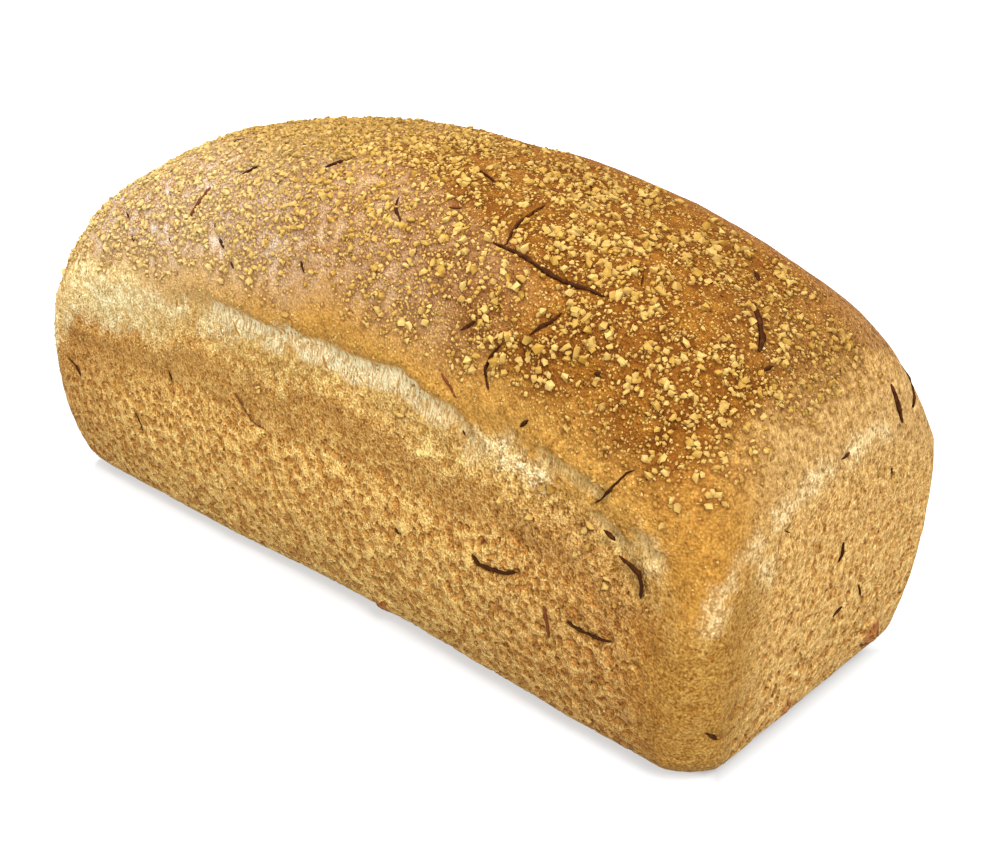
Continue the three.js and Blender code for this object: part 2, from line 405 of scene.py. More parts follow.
CROWN_BACK = (166, 112, 62)
FAR_PAINTED_GRIT_SHADE = (186, 132, 64)
RIDGE_TAN_AND_PAINTED_SHADE = (196, 158, 102)
DUST_YELLOW = (232, 194, 108)
CORN_LIGHT = (226, 186, 108)
CORN_DEEP = (194, 147, 62)
CORN_PALE = (230, 200, 136)
SHRED_BLACK = (58, 30, 10)
SHRED_RED = (112, 58, 32)
STRAND_BROWN = (156, 110, 54)
WALL_STOPS = [(0.0, WALL_RIDGE), (0.3, WALL_HONEY), (0.65, WALL_PIT), (1.0, WALL_DEEP)]
SHRED_STOPS = [(BROWNED, STRAND_BROWN), (REDDISH, SHRED_RED), (SCORCHED, SHRED_BLACK)]

# A surface's plain level of light, and how dark specks lose green and blue, which makes them warmer
CRUST_LEVEL = 0.86
LEAST_LEVEL = 0.1
SPECK_GREEN = 1.2
SPECK_BLUE = 1.45
PLAIN_SPECULAR = 0.02
CRUST_ROUGHNESS = 0.6
CORN_ROUGHNESS = 0.55

# How far an edge of a finish strays, in mm, by the crust's patches and by its spots
BAND_STRAY = (6, 4)
CREASE_STRAY = (6, 4)
TURN_STRAY = (6, 3)
TORN_STRAY = (4, 3)
STREAK_STRAY = (4, 5)
STREAK_STRAND_STRAY = 3
SLIT_FINE_STRAY = 1.5
TOASTED_STRAY = 20
LEFT_TOASTED_STRAY = 10
CORNER_STRAY = 6
BASE_STRAY = 2
ROSY_STRAY = 15
WALL_STRAY = 3

# The walls: what makes them darker or lighter, with painted shade in the pores and pinholes and painted
# light on the lips under the pores, then where they are toasted, blotched and browned
PLAIN_WALL = 0.18
PORE_PAINTED_SHADE = 0.18
PORE_TOP_PAINTED_SHADE = 0.24
PORE_LIP_PAINTED_LIGHT = 0.16
PINHOLE_PAINTED_SHADE = 0.2
END_PINHOLE_PAINTED_SHADE = 0.1
MOTTLE_LIGHTNESS = 0.2
POROUS_MOTTLE_LOSS = 0.12
SPOT_LIGHTNESS = 0.15
TOASTED_ALONG = (35, 90)
TOASTED_SHARE = 0.34
LEFT_TOASTED_ALONG = (-70, -105)
LEFT_TOASTED_SHARE = 0.3
BLOTCH_MIX = 0.5
BLOTCH_LEVELS = (0.0, 0.6)
BLOTCH_ALONG = (40, 85)
BLOTCH_SHARE = 0.5
CORNER_BLOTCH_SHARE = 0.3
END_LOSS = 0.6
BAND_OVER_BREAK = (-26, -10)
BAND_TO_RIGHT = (40, 70)
BAND_RIGHT_SHARE = 0.6
BASE_HEIGHTS = (4, 0.5)
BASE_SHARE = 0.5
LUMP_LEVELS = (0.15, 0.5)
LUMP_SHARE = 0.8

# The crown: where it is browned, rosy, lilac, tan with painted shade on its far top, and dusted with meal
CROWN_OVER_BREAK = (8, 24)
CROWN_END_DROP = 17
BROWNED_PATCHES = 0.5
BROWNED_MOTTLE = 0.6
BROWNED_BLOTS = 0.4
BROWNED_LEVELS = (-0.5, 0.5)
LILAC_ALONG = (5, -42)
LILAC_ACROSS = (-12, -32)
LILAC_LEAST = 0.5
ROSY_ALONG = (5, -45)
ROSY_FRONT = (-10, -35)
ROSY_FRONT_REACH = 60
ROSY_SHARE = 0.9
CROWN_TO_BACK = (12, 30)
CROWN_BACK_SHARE = 0.8
CROWN_TO_END = (85, 112)
CROWN_END_ACROSS = (-25, 0)
CROWN_END_SHARE = 0.25
RIDGE_HEIGHTS = (102, 111)
RIDGE_ALONG = (0, -30)
DUST_MEAL = 0.5
DUST_LEVELS = (0.75, 1.0)
DUST_ALONG = (-60, 20)
DUST_SHARES = (0.3, 0.5)

# The gold crust under the crown, and the wall's upper edge
GOLD_TO_FAR = (-10, -60)
GOLD_TO_END = (-44, -20)
CORNER_GOLD_SHARE = 0.6
WALL_UNDER_BREAK = (3, -8)

# The pale crumb along the break, its streaks and its open tears
CRUMB_TO_LEFT = (-50, -85)
CRUMB_FOOT = -12
LEFT_CRUMB_FOOT = -8
CRUMB_FOOT_FADE = 8
CRUMB_TOP = 5
LEFT_CRUMB_TOP = 16
CRUMB_TOP_FADE = 5
CRUMB_TO_RIGHT = (58, 80)
CRUMB_SHARES = (0.85, 0.3)
CRUMB_END_LOSS = 0.7
LEFT_CRUMB_LOSS = 0.1
GRANULAR_MOTTLE = 0.3
GRANULAR_LEVELS = (-0.6, 0.7)
PALE_CORE = -1
STREAK_TO_RIGHT = (60, 110)
STREAK_SHARES = (0.9, 0.55)
STREAK_GRAIN = (0, 0.6)
STREAK_GRAIN_LEAST = 0.4
TORN_TO_RIGHT = (30, 60)
STRAND_LEVELS = (-0.4, 0.3)
LIP_SHADOW = (1.2, 0.2)
LIP_SHADOW_SHARE = 0.6
CREASE_WIDTH = (7, 1)
CREASE_LEVELS = (-0.2, 0.6)
CREASE_ALONG = (-108, -116)
CREASE_SHARE = 0.6

# The crust's specks, the painted shade around the grits, and where its relief is smoother
GRAIN_SHARE = 0.4
MOTTLE_SHARE = 0.6
POROUS_MOTTLE_SHARE = 0.15
SPOT_SHARE = 0.2
BLOT_ALONG = (40, 80)
BLOT_SHARES = (0.15, 0.7)
END_BLOT_SHARE = 0.55
CORNER_BLOT_LOSS = 0.6
SLIT_SPECK_LOSS = 0.6
GRIT_SHADE_REACH = (1.1, 0)
GRIT_SHADE_ALONG = (-50, 0)
FAR_PAINTED_GRIT_SHADE_SHARES = (0.6, 0)
CROWN_PAINTED_GRIT_SHADE_SHARES = (0.45, 0.85)
SMOOTH_FROM = (-4, 6)
SMOOTH_TO = (26, 14)
SMOOTH_CROWN = 0.3
SMOOTH_ENDS = 0.8
SMOOTH_SHARE = 0.7
RELIEF_REACH = 1.5

# The crumbs of corn: paler to the far end, with painted light and shade from their feet to their tops and
# from facet to facet, and darker to the back
CORN_PALE_ALONG = (0, -60)
CORN_PALE_ACROSS = (-10, -30)
CORN_PALE_SHARES = (0.1, 0.6)
CORN_MIDDLE_LEVEL = 0.72
CORN_PAINTED_LIGHT_BY_HEIGHT = 0.4
FACET_LEVEL = 0.85
FACET_PAINTED_LIGHT_SPREAD = 0.25
CORN_TO_BACK = (-20, 5)
CORN_BACK_LEVEL = 0.88
CORN_TO_NEAR = (40, 85)
CORN_NEAR_LEVEL = 0.92
CORN_RIDGE_PAINTED_SHADE = 0.15
CORN_GREEN = 1.03
CORN_BLUE = 1.06

# The uneven scorching along a shred
SCORCH_SPOT_SIZE = 1.5
SCORCH_SPREAD = 0.5

# The photo's camera: where it stands, its focal length in pixels and where it puts the loaf's middle
IMAGE_WIDTH = 1000
IMAGE_HEIGHT = 842
CAMERA_AZIMUTH = 44.41
CAMERA_ELEVATION = 23.35
CAMERA_DISTANCE = 378.8
CAMERA_FOCAL_PIXELS = 1400
CAMERA_AIM_HEIGHT = 50
CAMERA_AIM_PIXEL = (447.7, 379.2)
SENSOR_WIDTH = 36
CLIP_START_M = 0.01

# The studio, in metres and watts: the floor, its glow dimmed near the loaf and by the loaf's ends as a
# painted shadow, and the lights
FLOOR_HALF_SIZE = 6
FLOOR_GREY = 0.3
FLOOR_ROUGHNESS = 0.9
FLOOR_GLOW_REACH = (0.16, 0.4)
PAINTED_SHADOW_GLOW = 0.5
END_SHADE_ALONG = (0.1125, 0.119)
END_SHADE_ACROSS = (0.03, 0.038)
END_PAINTED_SHADOW_GLOW = 0.12
WORLD_LIGHT = 0.6
LIGHT_AIM = (0, 0, 0.05)
STUDIO_LIGHTS = [
    ("key", (-0.45, 0.05, 1.3), 0.35, 32),
    ("fill", (0.9, -0.45, 1), 0.5, 36),
    ("front", (-0.2, -1.3, 0.7), 0.9, 14),
]


class Value:
    """One output socket of a node. Arithmetic on it adds Math nodes to its tree."""

    def __init__(self, graph, socket):
        self.graph = graph
        self.socket = socket

    def __add__(self, other):
        return self.graph.math("ADD", self, other)

    def __radd__(self, other):
        return self.graph.math("ADD", other, self)

    def __sub__(self, other):
        return self.graph.math("SUBTRACT", self, other)

    def __rsub__(self, other):
        return self.graph.math("SUBTRACT", other, self)

    def __mul__(self, other):
        return self.graph.math("MULTIPLY", self, other)

    def __rmul__(self, other):
        return self.graph.math("MULTIPLY", other, self)

    def __truediv__(self, other):
        return self.graph.math("DIVIDE", self, other)

    def __rtruediv__(self, other):
        return self.graph.math("DIVIDE", other, self)

    def __pow__(self, other):
        return self.graph.math("POWER", self, other)

    def __abs__(self):
        return self.graph.math("ABSOLUTE", self)


class Graph:
    """Builds one node tree, of a material or of Geometry Nodes."""

    def __init__(self, tree):
        self.tree = tree

    def node(self, kind, settings=None, sockets=None):
        """A new node: its settings are set first, then the values or links of its sockets."""
        node = self.tree.nodes.new(kind)
        for name, setting in (settings or {}).items():
            if name == "stops":
                self.set_stops(node.color_ramp, setting)
            else:
                setattr(node, name, setting)
        for key, value in (sockets or {}).items():
            self.feed(node.inputs[key], value)
        return node

    @staticmethod
    def set_stops(ramp, stops):
        while len(ramp.elements) < len(stops):
            ramp.elements.new(1.0)
        for element, (place, colour) in zip(ramp.elements, stops):
            element.position = place
            element.color = (*colour, 1.0)

    def feed(self, socket, value):
        if isinstance(value, Value):
            self.tree.links.new(value.socket, socket)
        else:
            socket.default_value = value

    def out(self, node, key=0):
        return Value(self, node.outputs[key])

    def math(self, operation, *values):
        return self.out(self.node("ShaderNodeMath", {"operation": operation}, dict(enumerate(values))))

    def vector_math(self, operation, *values):
        sockets = dict(enumerate(values))
        return self.out(self.node("ShaderNodeVectorMath", {"operation": operation}, sockets))

    def random(self, low, high, seed):
        sockets = {2: low, 3: high, "Seed": seed}
        return self.out(self.node("FunctionNodeRandomValue", {"data_type": "FLOAT"}, sockets), 1)

    def split(self, vector):
        node = self.node("ShaderNodeSeparateXYZ", None, {0: vector})
        return [self.out(node, axis) for axis in range(3)]

    def join(self, x, y, z):
        return self.out(self.node("ShaderNodeCombineXYZ", None, {0: x, 1: y, 2: z}))

    def step(self, value, low, high, to_low=0.0, to_high=1.0):
        """A soft step: to_low below low, to_high above high."""
        sockets = {"Value": value, "From Min": low, "From Max": high, "To Min": to_low, "To Max": to_high}
        return self.out(self.node("ShaderNodeMapRange", {"interpolation_type": "SMOOTHSTEP"}, sockets))

    def mix(self, factor, first, second):
        settings = {"data_type": "FLOAT"}
        return self.out(self.node("ShaderNodeMix", settings, {0: factor, 2: first, 3: second}))

    def mix_colour(self, factor, first, second):
        sockets = {0: factor, 6: first, 7: second}
        return self.out(self.node("ShaderNodeMix", {"data_type": "RGBA"}, sockets), 2)

    def noise(self, place, size, detail=2.0, stretch=(1, 1, 1)):
        """Smooth noise about 0, mostly from -0.6 to 0.6, with features of a size in mm."""
        scaled = self.vector_math("DIVIDE", place, [size * axis for axis in stretch])
        node = self.node("ShaderNodeTexNoise", None, {"Vector": scaled, "Scale": 1.0, "Detail": detail})
        return self.out(node) * 2 - 1

    def shift(self, place, size, reach):
        """The place, moved about by smooth noise."""
        scaled = self.vector_math("DIVIDE", place, [size] * 3)
        node = self.node("ShaderNodeTexNoise", None, {"Vector": scaled, "Scale": 1.0, "Detail": 1.0})
        centred = self.vector_math("SUBTRACT", self.out(node, 1), [0.5] * 3)
        return self.vector_math("ADD", place, self.vector_math("MULTIPLY", centred, [reach] * 3))

    def cells(self, place, size, stretch=(1, 1, 1)):
        """Random cells of a size in mm: how far off the nearest one's middle is, and its chance."""
        scaled = self.vector_math("DIVIDE", place, [size * axis for axis in stretch])
        node = self.node("ShaderNodeTexVoronoi", None, {"Vector": scaled, "Scale": 1.0})
        return self.out(node, "Distance"), self.split(self.out(node, "Color"))[0]

    def bell(self, value, middle, reach):
        """1 at the middle, falling softly to 0 at about twice the reach from it."""
        off = (value - middle) / reach
        return self.math("EXPONENT", -1 * (off * off))

    def minimum(self, first, second):
        return self.math("MINIMUM", first, second)

    def maximum(self, first, second):
        return self.math("MAXIMUM", first, second)

    def sine(self, value):
        return self.math("SINE", value)

    def root(self, value):
        return self.math("SQRT", value)


def new_tree(name):
    """An empty Geometry Nodes tree with a geometry going in and out."""
    tree = bpy.data.node_groups.new(name, "GeometryNodeTree")
    tree.interface.new_socket("Geometry", in_out="INPUT", socket_type="NodeSocketGeometry")
    tree.interface.new_socket("Geometry", in_out="OUTPUT", socket_type="NodeSocketGeometry")
    return Graph(tree)


def named_input(graph, name, kind):
    """Adds an input to the tree and returns the socket that gives its value."""
    graph.tree.interface.new_socket(name, in_out="INPUT", socket_type=kind)
    return graph.out(graph.node("NodeGroupInput"), name)


def made_mesh(piece, graph, inputs):
    """Runs a tree on a piece with the named inputs, and keeps the result as the piece's plain mesh."""
    modifier = piece.modifiers.new(graph.tree.name, "NODES")
    modifier.node_group = graph.tree
    for item in graph.tree.interface.items_tree:
        if item.in_out == "INPUT" and item.name in inputs:
            modifier[item.identifier] = inputs[item.name]
    depsgraph = bpy.context.evaluated_depsgraph_get()
    mesh = bpy.data.meshes.new_from_object(
        piece.evaluated_get(depsgraph), preserve_all_data_layers=True, depsgraph=depsgraph
    )
    piece.modifiers.remove(modifier)
    piece.data = mesh
    mesh.name = piece.name
    return mesh


def new_piece(name):
    piece = bpy.data.objects.new(name, bpy.data.meshes.new(name))
    bpy.context.scene.collection.objects.link(piece)
    return piece


def place_in_mm(g):
    """Where each point of a tree's mesh is, in mm."""
    return g.vector_math("DIVIDE", g.out(g.node("GeometryNodeInputPosition")), [MM] * 3)


def attribute(g, name):
    """A value that is stored on a tree's mesh."""
    return g.out(g.node("GeometryNodeInputNamedAttribute", None, {"Name": name}))


def with_attribute(g, shape, name, value, kind="FLOAT", domain="POINT"):
    """The shape, with a named value stored on it."""
    settings = {"data_type": kind, "domain": domain}
    sockets = {"Geometry": shape, "Name": name, "Value": value}
    return g.out(g.node("GeometryNodeStoreNamedAttribute", settings, sockets))


def moved_by(g, shape, offset):
    """The shape, with each point moved by an offset in metres."""
    return g.out(g.node("GeometryNodeSetPosition", None, {"Geometry": shape, "Offset": offset}))


def end_tree(g, shape, material):
    """Ends a tree: its shape goes out as a plain mesh in a material."""
    real = g.out(g.node("GeometryNodeRealizeInstances", None, {0: shape}))
    coloured = g.out(g.node("GeometryNodeSetMaterial", None, {"Geometry": real, "Material": material}))
    g.node("NodeGroupOutput", None, {0: coloured})
    return g


def loaf_form_tree():
    """A cube whose sides become the loaf's walls, and its top the crown."""
    g = new_tree("loaf_form")
    along_count = named_input(g, "Faces Along", "NodeSocketInt")
    across_count = named_input(g, "Faces Across", "NodeSocketInt")
    up_count = named_input(g, "Faces Up", "NodeSocketInt")
    counts = {
        "Size": (2, 2, 2),
        "Vertices X": along_count + 1,
        "Vertices Y": across_count + 1,
        "Vertices Z": up_count + 1,
    }
    cube = g.out(g.node("GeometryNodeMeshCube", None, counts))
    u, v, w = g.split(g.out(g.node("GeometryNodeInputPosition")))
    ring = g.maximum(abs(u), abs(v))
    level = (w + 1) / 2
    along, across = wall_half_sizes(g, level, u / ring)
    edge_x, edge_y = outline_point(g, u / ring, v / ring, along, across)
    reach = g.sine(ring * (math.pi / 2))
    crown = crown_height(g, edge_x * reach, edge_y * reach)
    brow = crown_height(g, *outline_point(g, u / ring, v / ring, BROW_LENGTH / 2, BROW_WIDTH / 2))
    is_crown = g.math("GREATER_THAN", w, CUBE_TOP)
    height = g.mix(is_crown, level * brow, crown + crown_swell(g, edge_x * reach, edge_y * reach))
    place = g.join(edge_x * reach * MM, edge_y * reach * MM, height * MM)
    loaf = g.out(g.node("GeometryNodeSetPosition", None, {"Geometry": cube, "Position": place}))
    g.node("NodeGroupOutput", None, {0: loaf})
    return g


def wall_half_sizes(g, level, along_share):
    """The walls' half length and half width, from the base (level 0) to the brow (level 1).

    The long walls are drawn in near the base about mid-length; along_share is -1 and 1 at the ends.
    """
    swell = 4 * level * (1 - level)
    below = g.maximum(BASE_EDGE_RADIUS - level * BROW_HEIGHT, 0.0)
    inset = BASE_EDGE_RADIUS - g.root(BASE_EDGE_RADIUS**2 - below * below)
    along = BASE_LENGTH / 2 + (BROW_LENGTH - BASE_LENGTH) / 2 * level + END_SWELL * swell - inset
    drawn_in = g.bell(along_share * (BASE_LENGTH / 2), WAIST_PLACE, WAIST_REACH)
    waist = WAIST_DEPTH * (1 - level) ** 2 * drawn_in
    across = BASE_WIDTH / 2 + (BROW_WIDTH - BASE_WIDTH) / 2 * level + SIDE_SWELL * swell - inset - waist
    return along, across


def outline_point(g, u, v, along, across):
    """The point of a rounded rectangle that a square's edge point (u, v) goes to."""
    x = u * along
    y = v * across
    inner_x = g.maximum(g.minimum(x, along - CORNER_RADIUS), CORNER_RADIUS - along)
    inner_y = g.maximum(g.minimum(y, across - CORNER_RADIUS), CORNER_RADIUS - across)
    out_x = x - inner_x
    out_y = y - inner_y
    scale = CORNER_RADIUS / g.root(out_x * out_x + out_y * out_y)
    return inner_x + out_x * scale, inner_y + out_y * scale


def crown_height(g, x, y):
    """The crown's height over a place within the brow."""
    along = abs(x) / (BROW_LENGTH / 2)
    across = abs(y) / (BROW_WIDTH / 2)
    rounding = g.maximum(1 - along**ROUNDNESS_ALONG, 0.0) * g.maximum(1 - across**ROUNDNESS_ACROSS, 0.0)
    return BROW_HEIGHT + (LOAF_HEIGHT - BROW_HEIGHT) * (1 - END_DROP * (along * along)) * g.root(rounding)


def crown_swell(g, x, y):
    """How far the crown's soft swells lift it over a place."""
    lift = 0.0
    for middle_x, middle_y, radius, height in CROWN_SWELLS:
        lift = height * g.bell(x, middle_x, radius) * g.bell(y, middle_y, radius) + lift
    return lift


def close_base(mesh):
    """Takes the cube's gridded bottom away and closes the loaf with one flat face."""
    bm = bmesh.new()
    bm.from_mesh(mesh)
    bottom = [face for face in bm.faces if all(vert.co.z < BASE_FLATNESS_M for vert in face.verts)]
    bmesh.ops.delete(bm, geom=bottom, context="FACES")
    rim = [edge for edge in bm.edges if edge.is_boundary]
    bmesh.ops.holes_fill(bm, edges=rim, sides=0)
    bmesh.ops.recalc_face_normals(bm, faces=bm.faces)
    bm.to_mesh(mesh)
    bm.free()


def at_ends(g, x):
    """1 on the end walls, 0 on the long ones."""
    return g.step(abs(x), *END_WALLS)


def break_line(g, x, y):
    """The height, all round the loaf, of the line where the crown came away from the walls."""
    along = x / BREAK_HALF_LENGTH
    start = g.step(y, *FRONT_TO_BACK, FRONT_BREAK_START, BACK_BREAK_START)
    waver = g.sine(x / WAVE_LENGTH + start) + RIPPLE_SHARE * g.sine(x / RIPPLE_LENGTH + 2 * start)
    long_side = BREAK_HEIGHT - BREAK_END_DROP * (along * along) + BREAK_WAVER * waver
    end = END_BREAK_HEIGHT - END_BREAK_DROP * abs(y / END_BREAK_REACH) ** 3
    return g.mix(at_ends(g, x), long_side, end)


def under_lip(g, place, nearest):
    """How far a place is under the nearest tear's lip, and how far off it sideways."""
    away = g.vector_math("SUBTRACT", nearest, place)
    level = g.vector_math("MULTIPLY", away, (1, 1, 0))
    aside = g.out(g.node("ShaderNodeVectorMath", {"operation": "LENGTH"}, {0: level}), "Value")
    return g.split(away)[2], aside


def tear_share(g, x, drop, aside, ragged):
    """1 in the open slit under a tear's lip; ragged moves its lower edge."""
    height = g.step(x, *SLIT_TO_RIGHT, SLIT_HEIGHT, SLIT_HEIGHT_RIGHT)
    height = g.mix(g.step(x, *SLIT_TO_CORNER), height, SLIT_HEIGHT_CORNER)
    open_share = g.step(x, *SLIT_CLOSING, 1, SLIT_CORNER_OPENING) * g.step(aside, *SLIT_SIDES)
    above_foot = g.step(drop + ragged, height + SLIT_EDGE, height - SLIT_EDGE)
    return g.step(drop, -LIP_EDGE, LIP_EDGE) * above_foot * open_share


def torn_strands(g, strand_place):
    """The torn crumb's strands, which run up and down."""
    return g.noise(strand_place, STRAND_WIDTH, 2, STRAND_STRETCH)


def near_corner(g, x, y):
    """1 at the loaf's near corner, 0 away from it."""
    return g.step(x, *CORNER_ALONG) * g.step(y, *CORNER_ACROSS)


def porous_share(g, corner, above):
    """1 where the walls are full of pores, 0 above the break and at the near corner."""
    return g.step(above, *POROUS_BELOW) * (1 - CORNER_PORE_LOSS * corner)


def stretched(g, place):
    """The place, moved about so that the pores come out uneven."""
    for size, reach in PORE_BENDS:
        place = g.shift(place, size, reach)
    return place


def pore_share(g, pore_place, ends):
    """How open the crumb's pores are; the end walls have fewer."""
    far, chance = g.cells(pore_place, PORE_WIDTH, PORE_STRETCH)
    opening = PORE_OPENING + PORE_OPENING_SPREAD * chance
    few = g.mix(ends, 1, g.step(chance, *END_PORE_CHANCE))
    return g.step(far, opening, PORE_EDGE * opening) * few


def wall_pores(g, pore_place, ends, corner, porous, above):
    """How open the crumb's pores and pinholes are at a place of the walls."""
    pores = pore_share(g, pore_place, ends) * porous
    far, chance = g.cells(pore_place, PINHOLE_WIDTH, PINHOLE_STRETCH)
    pinholes = g.step(far, *PINHOLE_EDGE) * g.step(chance, *PINHOLE_CHANCE)
    pinholes = pinholes * g.step(above, *PINHOLES_BELOW, CROWN_PINHOLES, 1)
    return pores, pinholes * (1 - CORNER_PINHOLE_LOSS * corner)


def crumb_grains(g, place):
    """The crust's fine grains: each has its own height, from 0 to 1."""
    far, chance = g.cells(place, GRAIN_SIZE)
    return chance * g.step(far, *GRAIN_EDGE)


def lump_share(g, place):
    """How much a place lies in any dough lump, and how far the lumps lift it."""
    share = 0.0
    lift = 0.0
    for *middle, radius, height in DOUGH_LUMPS:
        away = g.node("ShaderNodeVectorMath", {"operation": "DISTANCE"}, {0: place, 1: middle})
        lump = g.bell(g.out(away, "Value"), 0, radius)
        share = lump + share
        lift = lump * height + lift
    return share, lift


def patch_share(g, x, y, patches):
    """How much a place lies in any of the round patches."""
    share = 0.0
    for middle_x, middle_y, radius in patches:
        share = g.maximum(g.bell(x, middle_x, radius) * g.bell(y, middle_y, radius), share)
    return share


def crumb_shares(g, place, x, y, above):
    """How thickly the grits and the meal lie at a place, from 0 to 1."""
    back_edge = y + BACK_EDGE_WAVER * g.noise(place, BACK_EDGE_WAVE)
    not_back = g.step(back_edge, *GRITS_TO_BACK)
    small_clumps = g.noise(place, SMALL_CLUMP_SIZE)
    clumps = g.noise(place, CLUMP_SIZE) + SMALL_CLUMP_SHARE * small_clumps
    clumps = g.step(clumps, *CLUMP_LEVELS, *CLUMP_SHARES)
    thick = THICK_SHARE * patch_share(g, x, y, GRIT_THICK)
    thick = thick * g.step(small_clumps, *THICK_LEVELS, THICK_LEAST, 1)
    bare = 1 - BARE_SHARE * patch_share(g, x, y, GRIT_BARE)
    to_left = g.step(x, *LEFT_SIDE)
    grits = (clumps + thick + LEFT_GRITS * to_left) * bare * not_back * g.step(above, *GRITS_OVER_BREAK)
    stuck = patch_share(g, x, g.split(place)[2], FRONT_GRITS) * g.step(y, *FRONT_WALL)
    grits = grits + FRONT_GRIT_SHARE * stuck
    meal_clumps = g.step(g.noise(place, MEAL_CLUMP_SIZE), *MEAL_LEVELS, MEAL_LEAST, 1)
    meal_low = g.mix(to_left, g.step(above, *MEAL_OVER_BREAK), g.step(above, *LEFT_MEAL_OVER_BREAK))
    meal = meal_clumps * not_back * meal_low * g.mix(to_left, MEAL_SHARE, LEFT_MEAL_SHARE)
    return grits, meal


def crust_relief_tree():
    """The uneven, pitted and torn surface of the crust, and the furrows that the shreds lie in."""
    g = new_tree("crust_relief")
    shape = g.out(g.node("NodeGroupInput"), "Geometry")
    shred_far, _ = nearest_edge(g, named_input(g, "Shred Lines", "NodeSocketObject"))
    lip_far, nearest_lip = nearest_edge(g, named_input(g, "Tear Lips", "NodeSocketObject"))
    streak_far, _ = nearest_edge(g, named_input(g, "Pale Streaks", "NodeSocketObject"))
    material = named_input(g, "Material", "NodeSocketMaterial")
    place = place_in_mm(g)
    x, y, z = g.split(place)
    above = z - break_line(g, x, y)
    grits, meal = crumb_shares(g, place, x, y, above)
    clear = g.step(shred_far, *SHRED_CLEARANCE)
    drop, aside = under_lip(g, place, nearest_lip)
    lumps, lump_lift = lump_share(g, place)
    ends = at_ends(g, x)
    corner = near_corner(g, x, y)
    porous = porous_share(g, corner, above)
    pore_place = stretched(g, place)
    strand_place = g.shift(place, *STRAND_BEND)
    for name, value in (("smooth_place", place), ("pore_place", pore_place), ("strand_place", strand_place)):
        shape = with_attribute(g, shape, name, value, "FLOAT_VECTOR")
    for name, value in (
        ("above_break", above), ("drop", drop), ("aside", aside), ("streak_far", streak_far),
        ("ends", ends), ("corner", corner), ("porous", porous), ("lumps", lumps),
        ("spots", g.noise(place, SPOT_SIZE, 1)), ("patches", g.noise(place, PATCH_SIZE, 3)),
        ("grit_share", grits * clear), ("meal_share", meal * clear),
    ):
        shape = with_attribute(g, shape, name, value)

    hollow = g.maximum(1 - (above / BREAK_HALF_WIDTH) ** 2, 0.0) * g.step(abs(x), *BREAK_ENDS)
    lip = g.step(drop, LIP_THICKNESS, -LIP_THICKNESS) * g.step(lip_far, *LIP_REACH)
    height = LUMP_HEIGHT * g.noise(place, LUMP_SIZE) + DIMPLE_HEIGHT * g.noise(place, DIMPLE_SIZE)
    height = height - BREAK_DEPTH * hollow + LIP_HEIGHT * lip
    slit = tear_share(g, x, drop, aside, SLIT_RAGGED * g.noise(place, SPOT_SIZE))
    slit_depth = g.step(drop, SLIT_HEIGHT, SLIT_DEEP_UNDER, SLIT_LEAST_DEPTH, SLIT_DEPTH)
    height = height + slit * (STRAND_HEIGHT * torn_strands(g, strand_place) - slit_depth)
    pores, pinholes = wall_pores(g, pore_place, ends, corner, porous, above)
    height = height + lump_lift - PORE_DEPTH * pores - PINHOLE_DEPTH * pinholes
    height = height - FURROW_DEPTH * g.step(shred_far, FURROW_OUTER, FURROW_INNER)
    rise = height * g.step(z, *FLAT_BASE) * MM
    normal = g.out(g.node("GeometryNodeInputNormal"))
    rough = moved_by(g, shape, g.vector_math("MULTIPLY", normal, g.join(rise, rise, rise)))
    return end_tree(g, rough, material)


def nearest_edge(g, piece):
    """How far off the nearest edge of a piece is, and where it is, in mm."""
    shape = g.out(g.node("GeometryNodeObjectInfo", None, {"Object": piece}), "Geometry")
    nearest = g.node("GeometryNodeProximity", {"target_element": "EDGES"}, {0: shape})
    return g.out(nearest, "Distance") / MM, g.vector_math("DIVIDE", g.out(nearest, "Position"), [MM] * 3)


def grit_shade_tree():
    """Stores how far each place of the crust is from the grits on it, in mm, for the painted shade around
    them.
    """
    g = new_tree("grit_shade")
    crust_shape = g.out(g.node("NodeGroupInput"), "Geometry")
    strewn = named_input(g, "Grits", "NodeSocketObject")
    material = named_input(g, "Material", "NodeSocketMaterial")
    shape = g.out(g.node("GeometryNodeObjectInfo", None, {"Object": strewn}), "Geometry")
    far = g.out(g.node("GeometryNodeProximity", {"target_element": "FACES"}, {0: shape}), "Distance") / MM
    return end_tree(g, with_attribute(g, crust_shape, "grit_far", far), material)


def shred_strip_tree():
    """Uneven strips along the shreds' lines, thinner towards their ends."""
    g = new_tree("shred_strips")
    lines = g.out(g.node("NodeGroupInput"), "Geometry")
    radius = named_input(g, "Radius", "NodeSocketFloat")
    material = named_input(g, "Material", "NodeSocketMaterial")
    curve = g.out(g.node("GeometryNodeMeshToCurve", None, {0: lines}))
    along = g.out(g.node("GeometryNodeSplineParameter"), "Factor")
    place = place_in_mm(g)
    taper = SHRED_TIP + (1 - SHRED_TIP) * (4 * along * (1 - along)) ** SHRED_TAPER
    knots = 1 + SHRED_KNOT_SHARE * g.noise(place, SHRED_KNOT_SIZE)
    width = radius * attribute(g, "thickness") * taper * knots
    ring = {"Resolution": SHRED_SIDES, "Radius": MM}
    circle = g.out(g.node("GeometryNodeCurvePrimitiveCircle", None, ring))
    sockets = {"Curve": curve, "Profile Curve": circle, "Scale": width, "Fill Caps": True}
    strips = g.out(g.node("GeometryNodeCurveToMesh", None, sockets))
    wrinkled = g.shift(place, SHRED_WRINKLE_SIZE, SHRED_WRINKLE_DEPTH * MM)
    return end_tree(g, moved_by(g, strips, g.vector_math("SUBTRACT", wrinkled, place)), material)


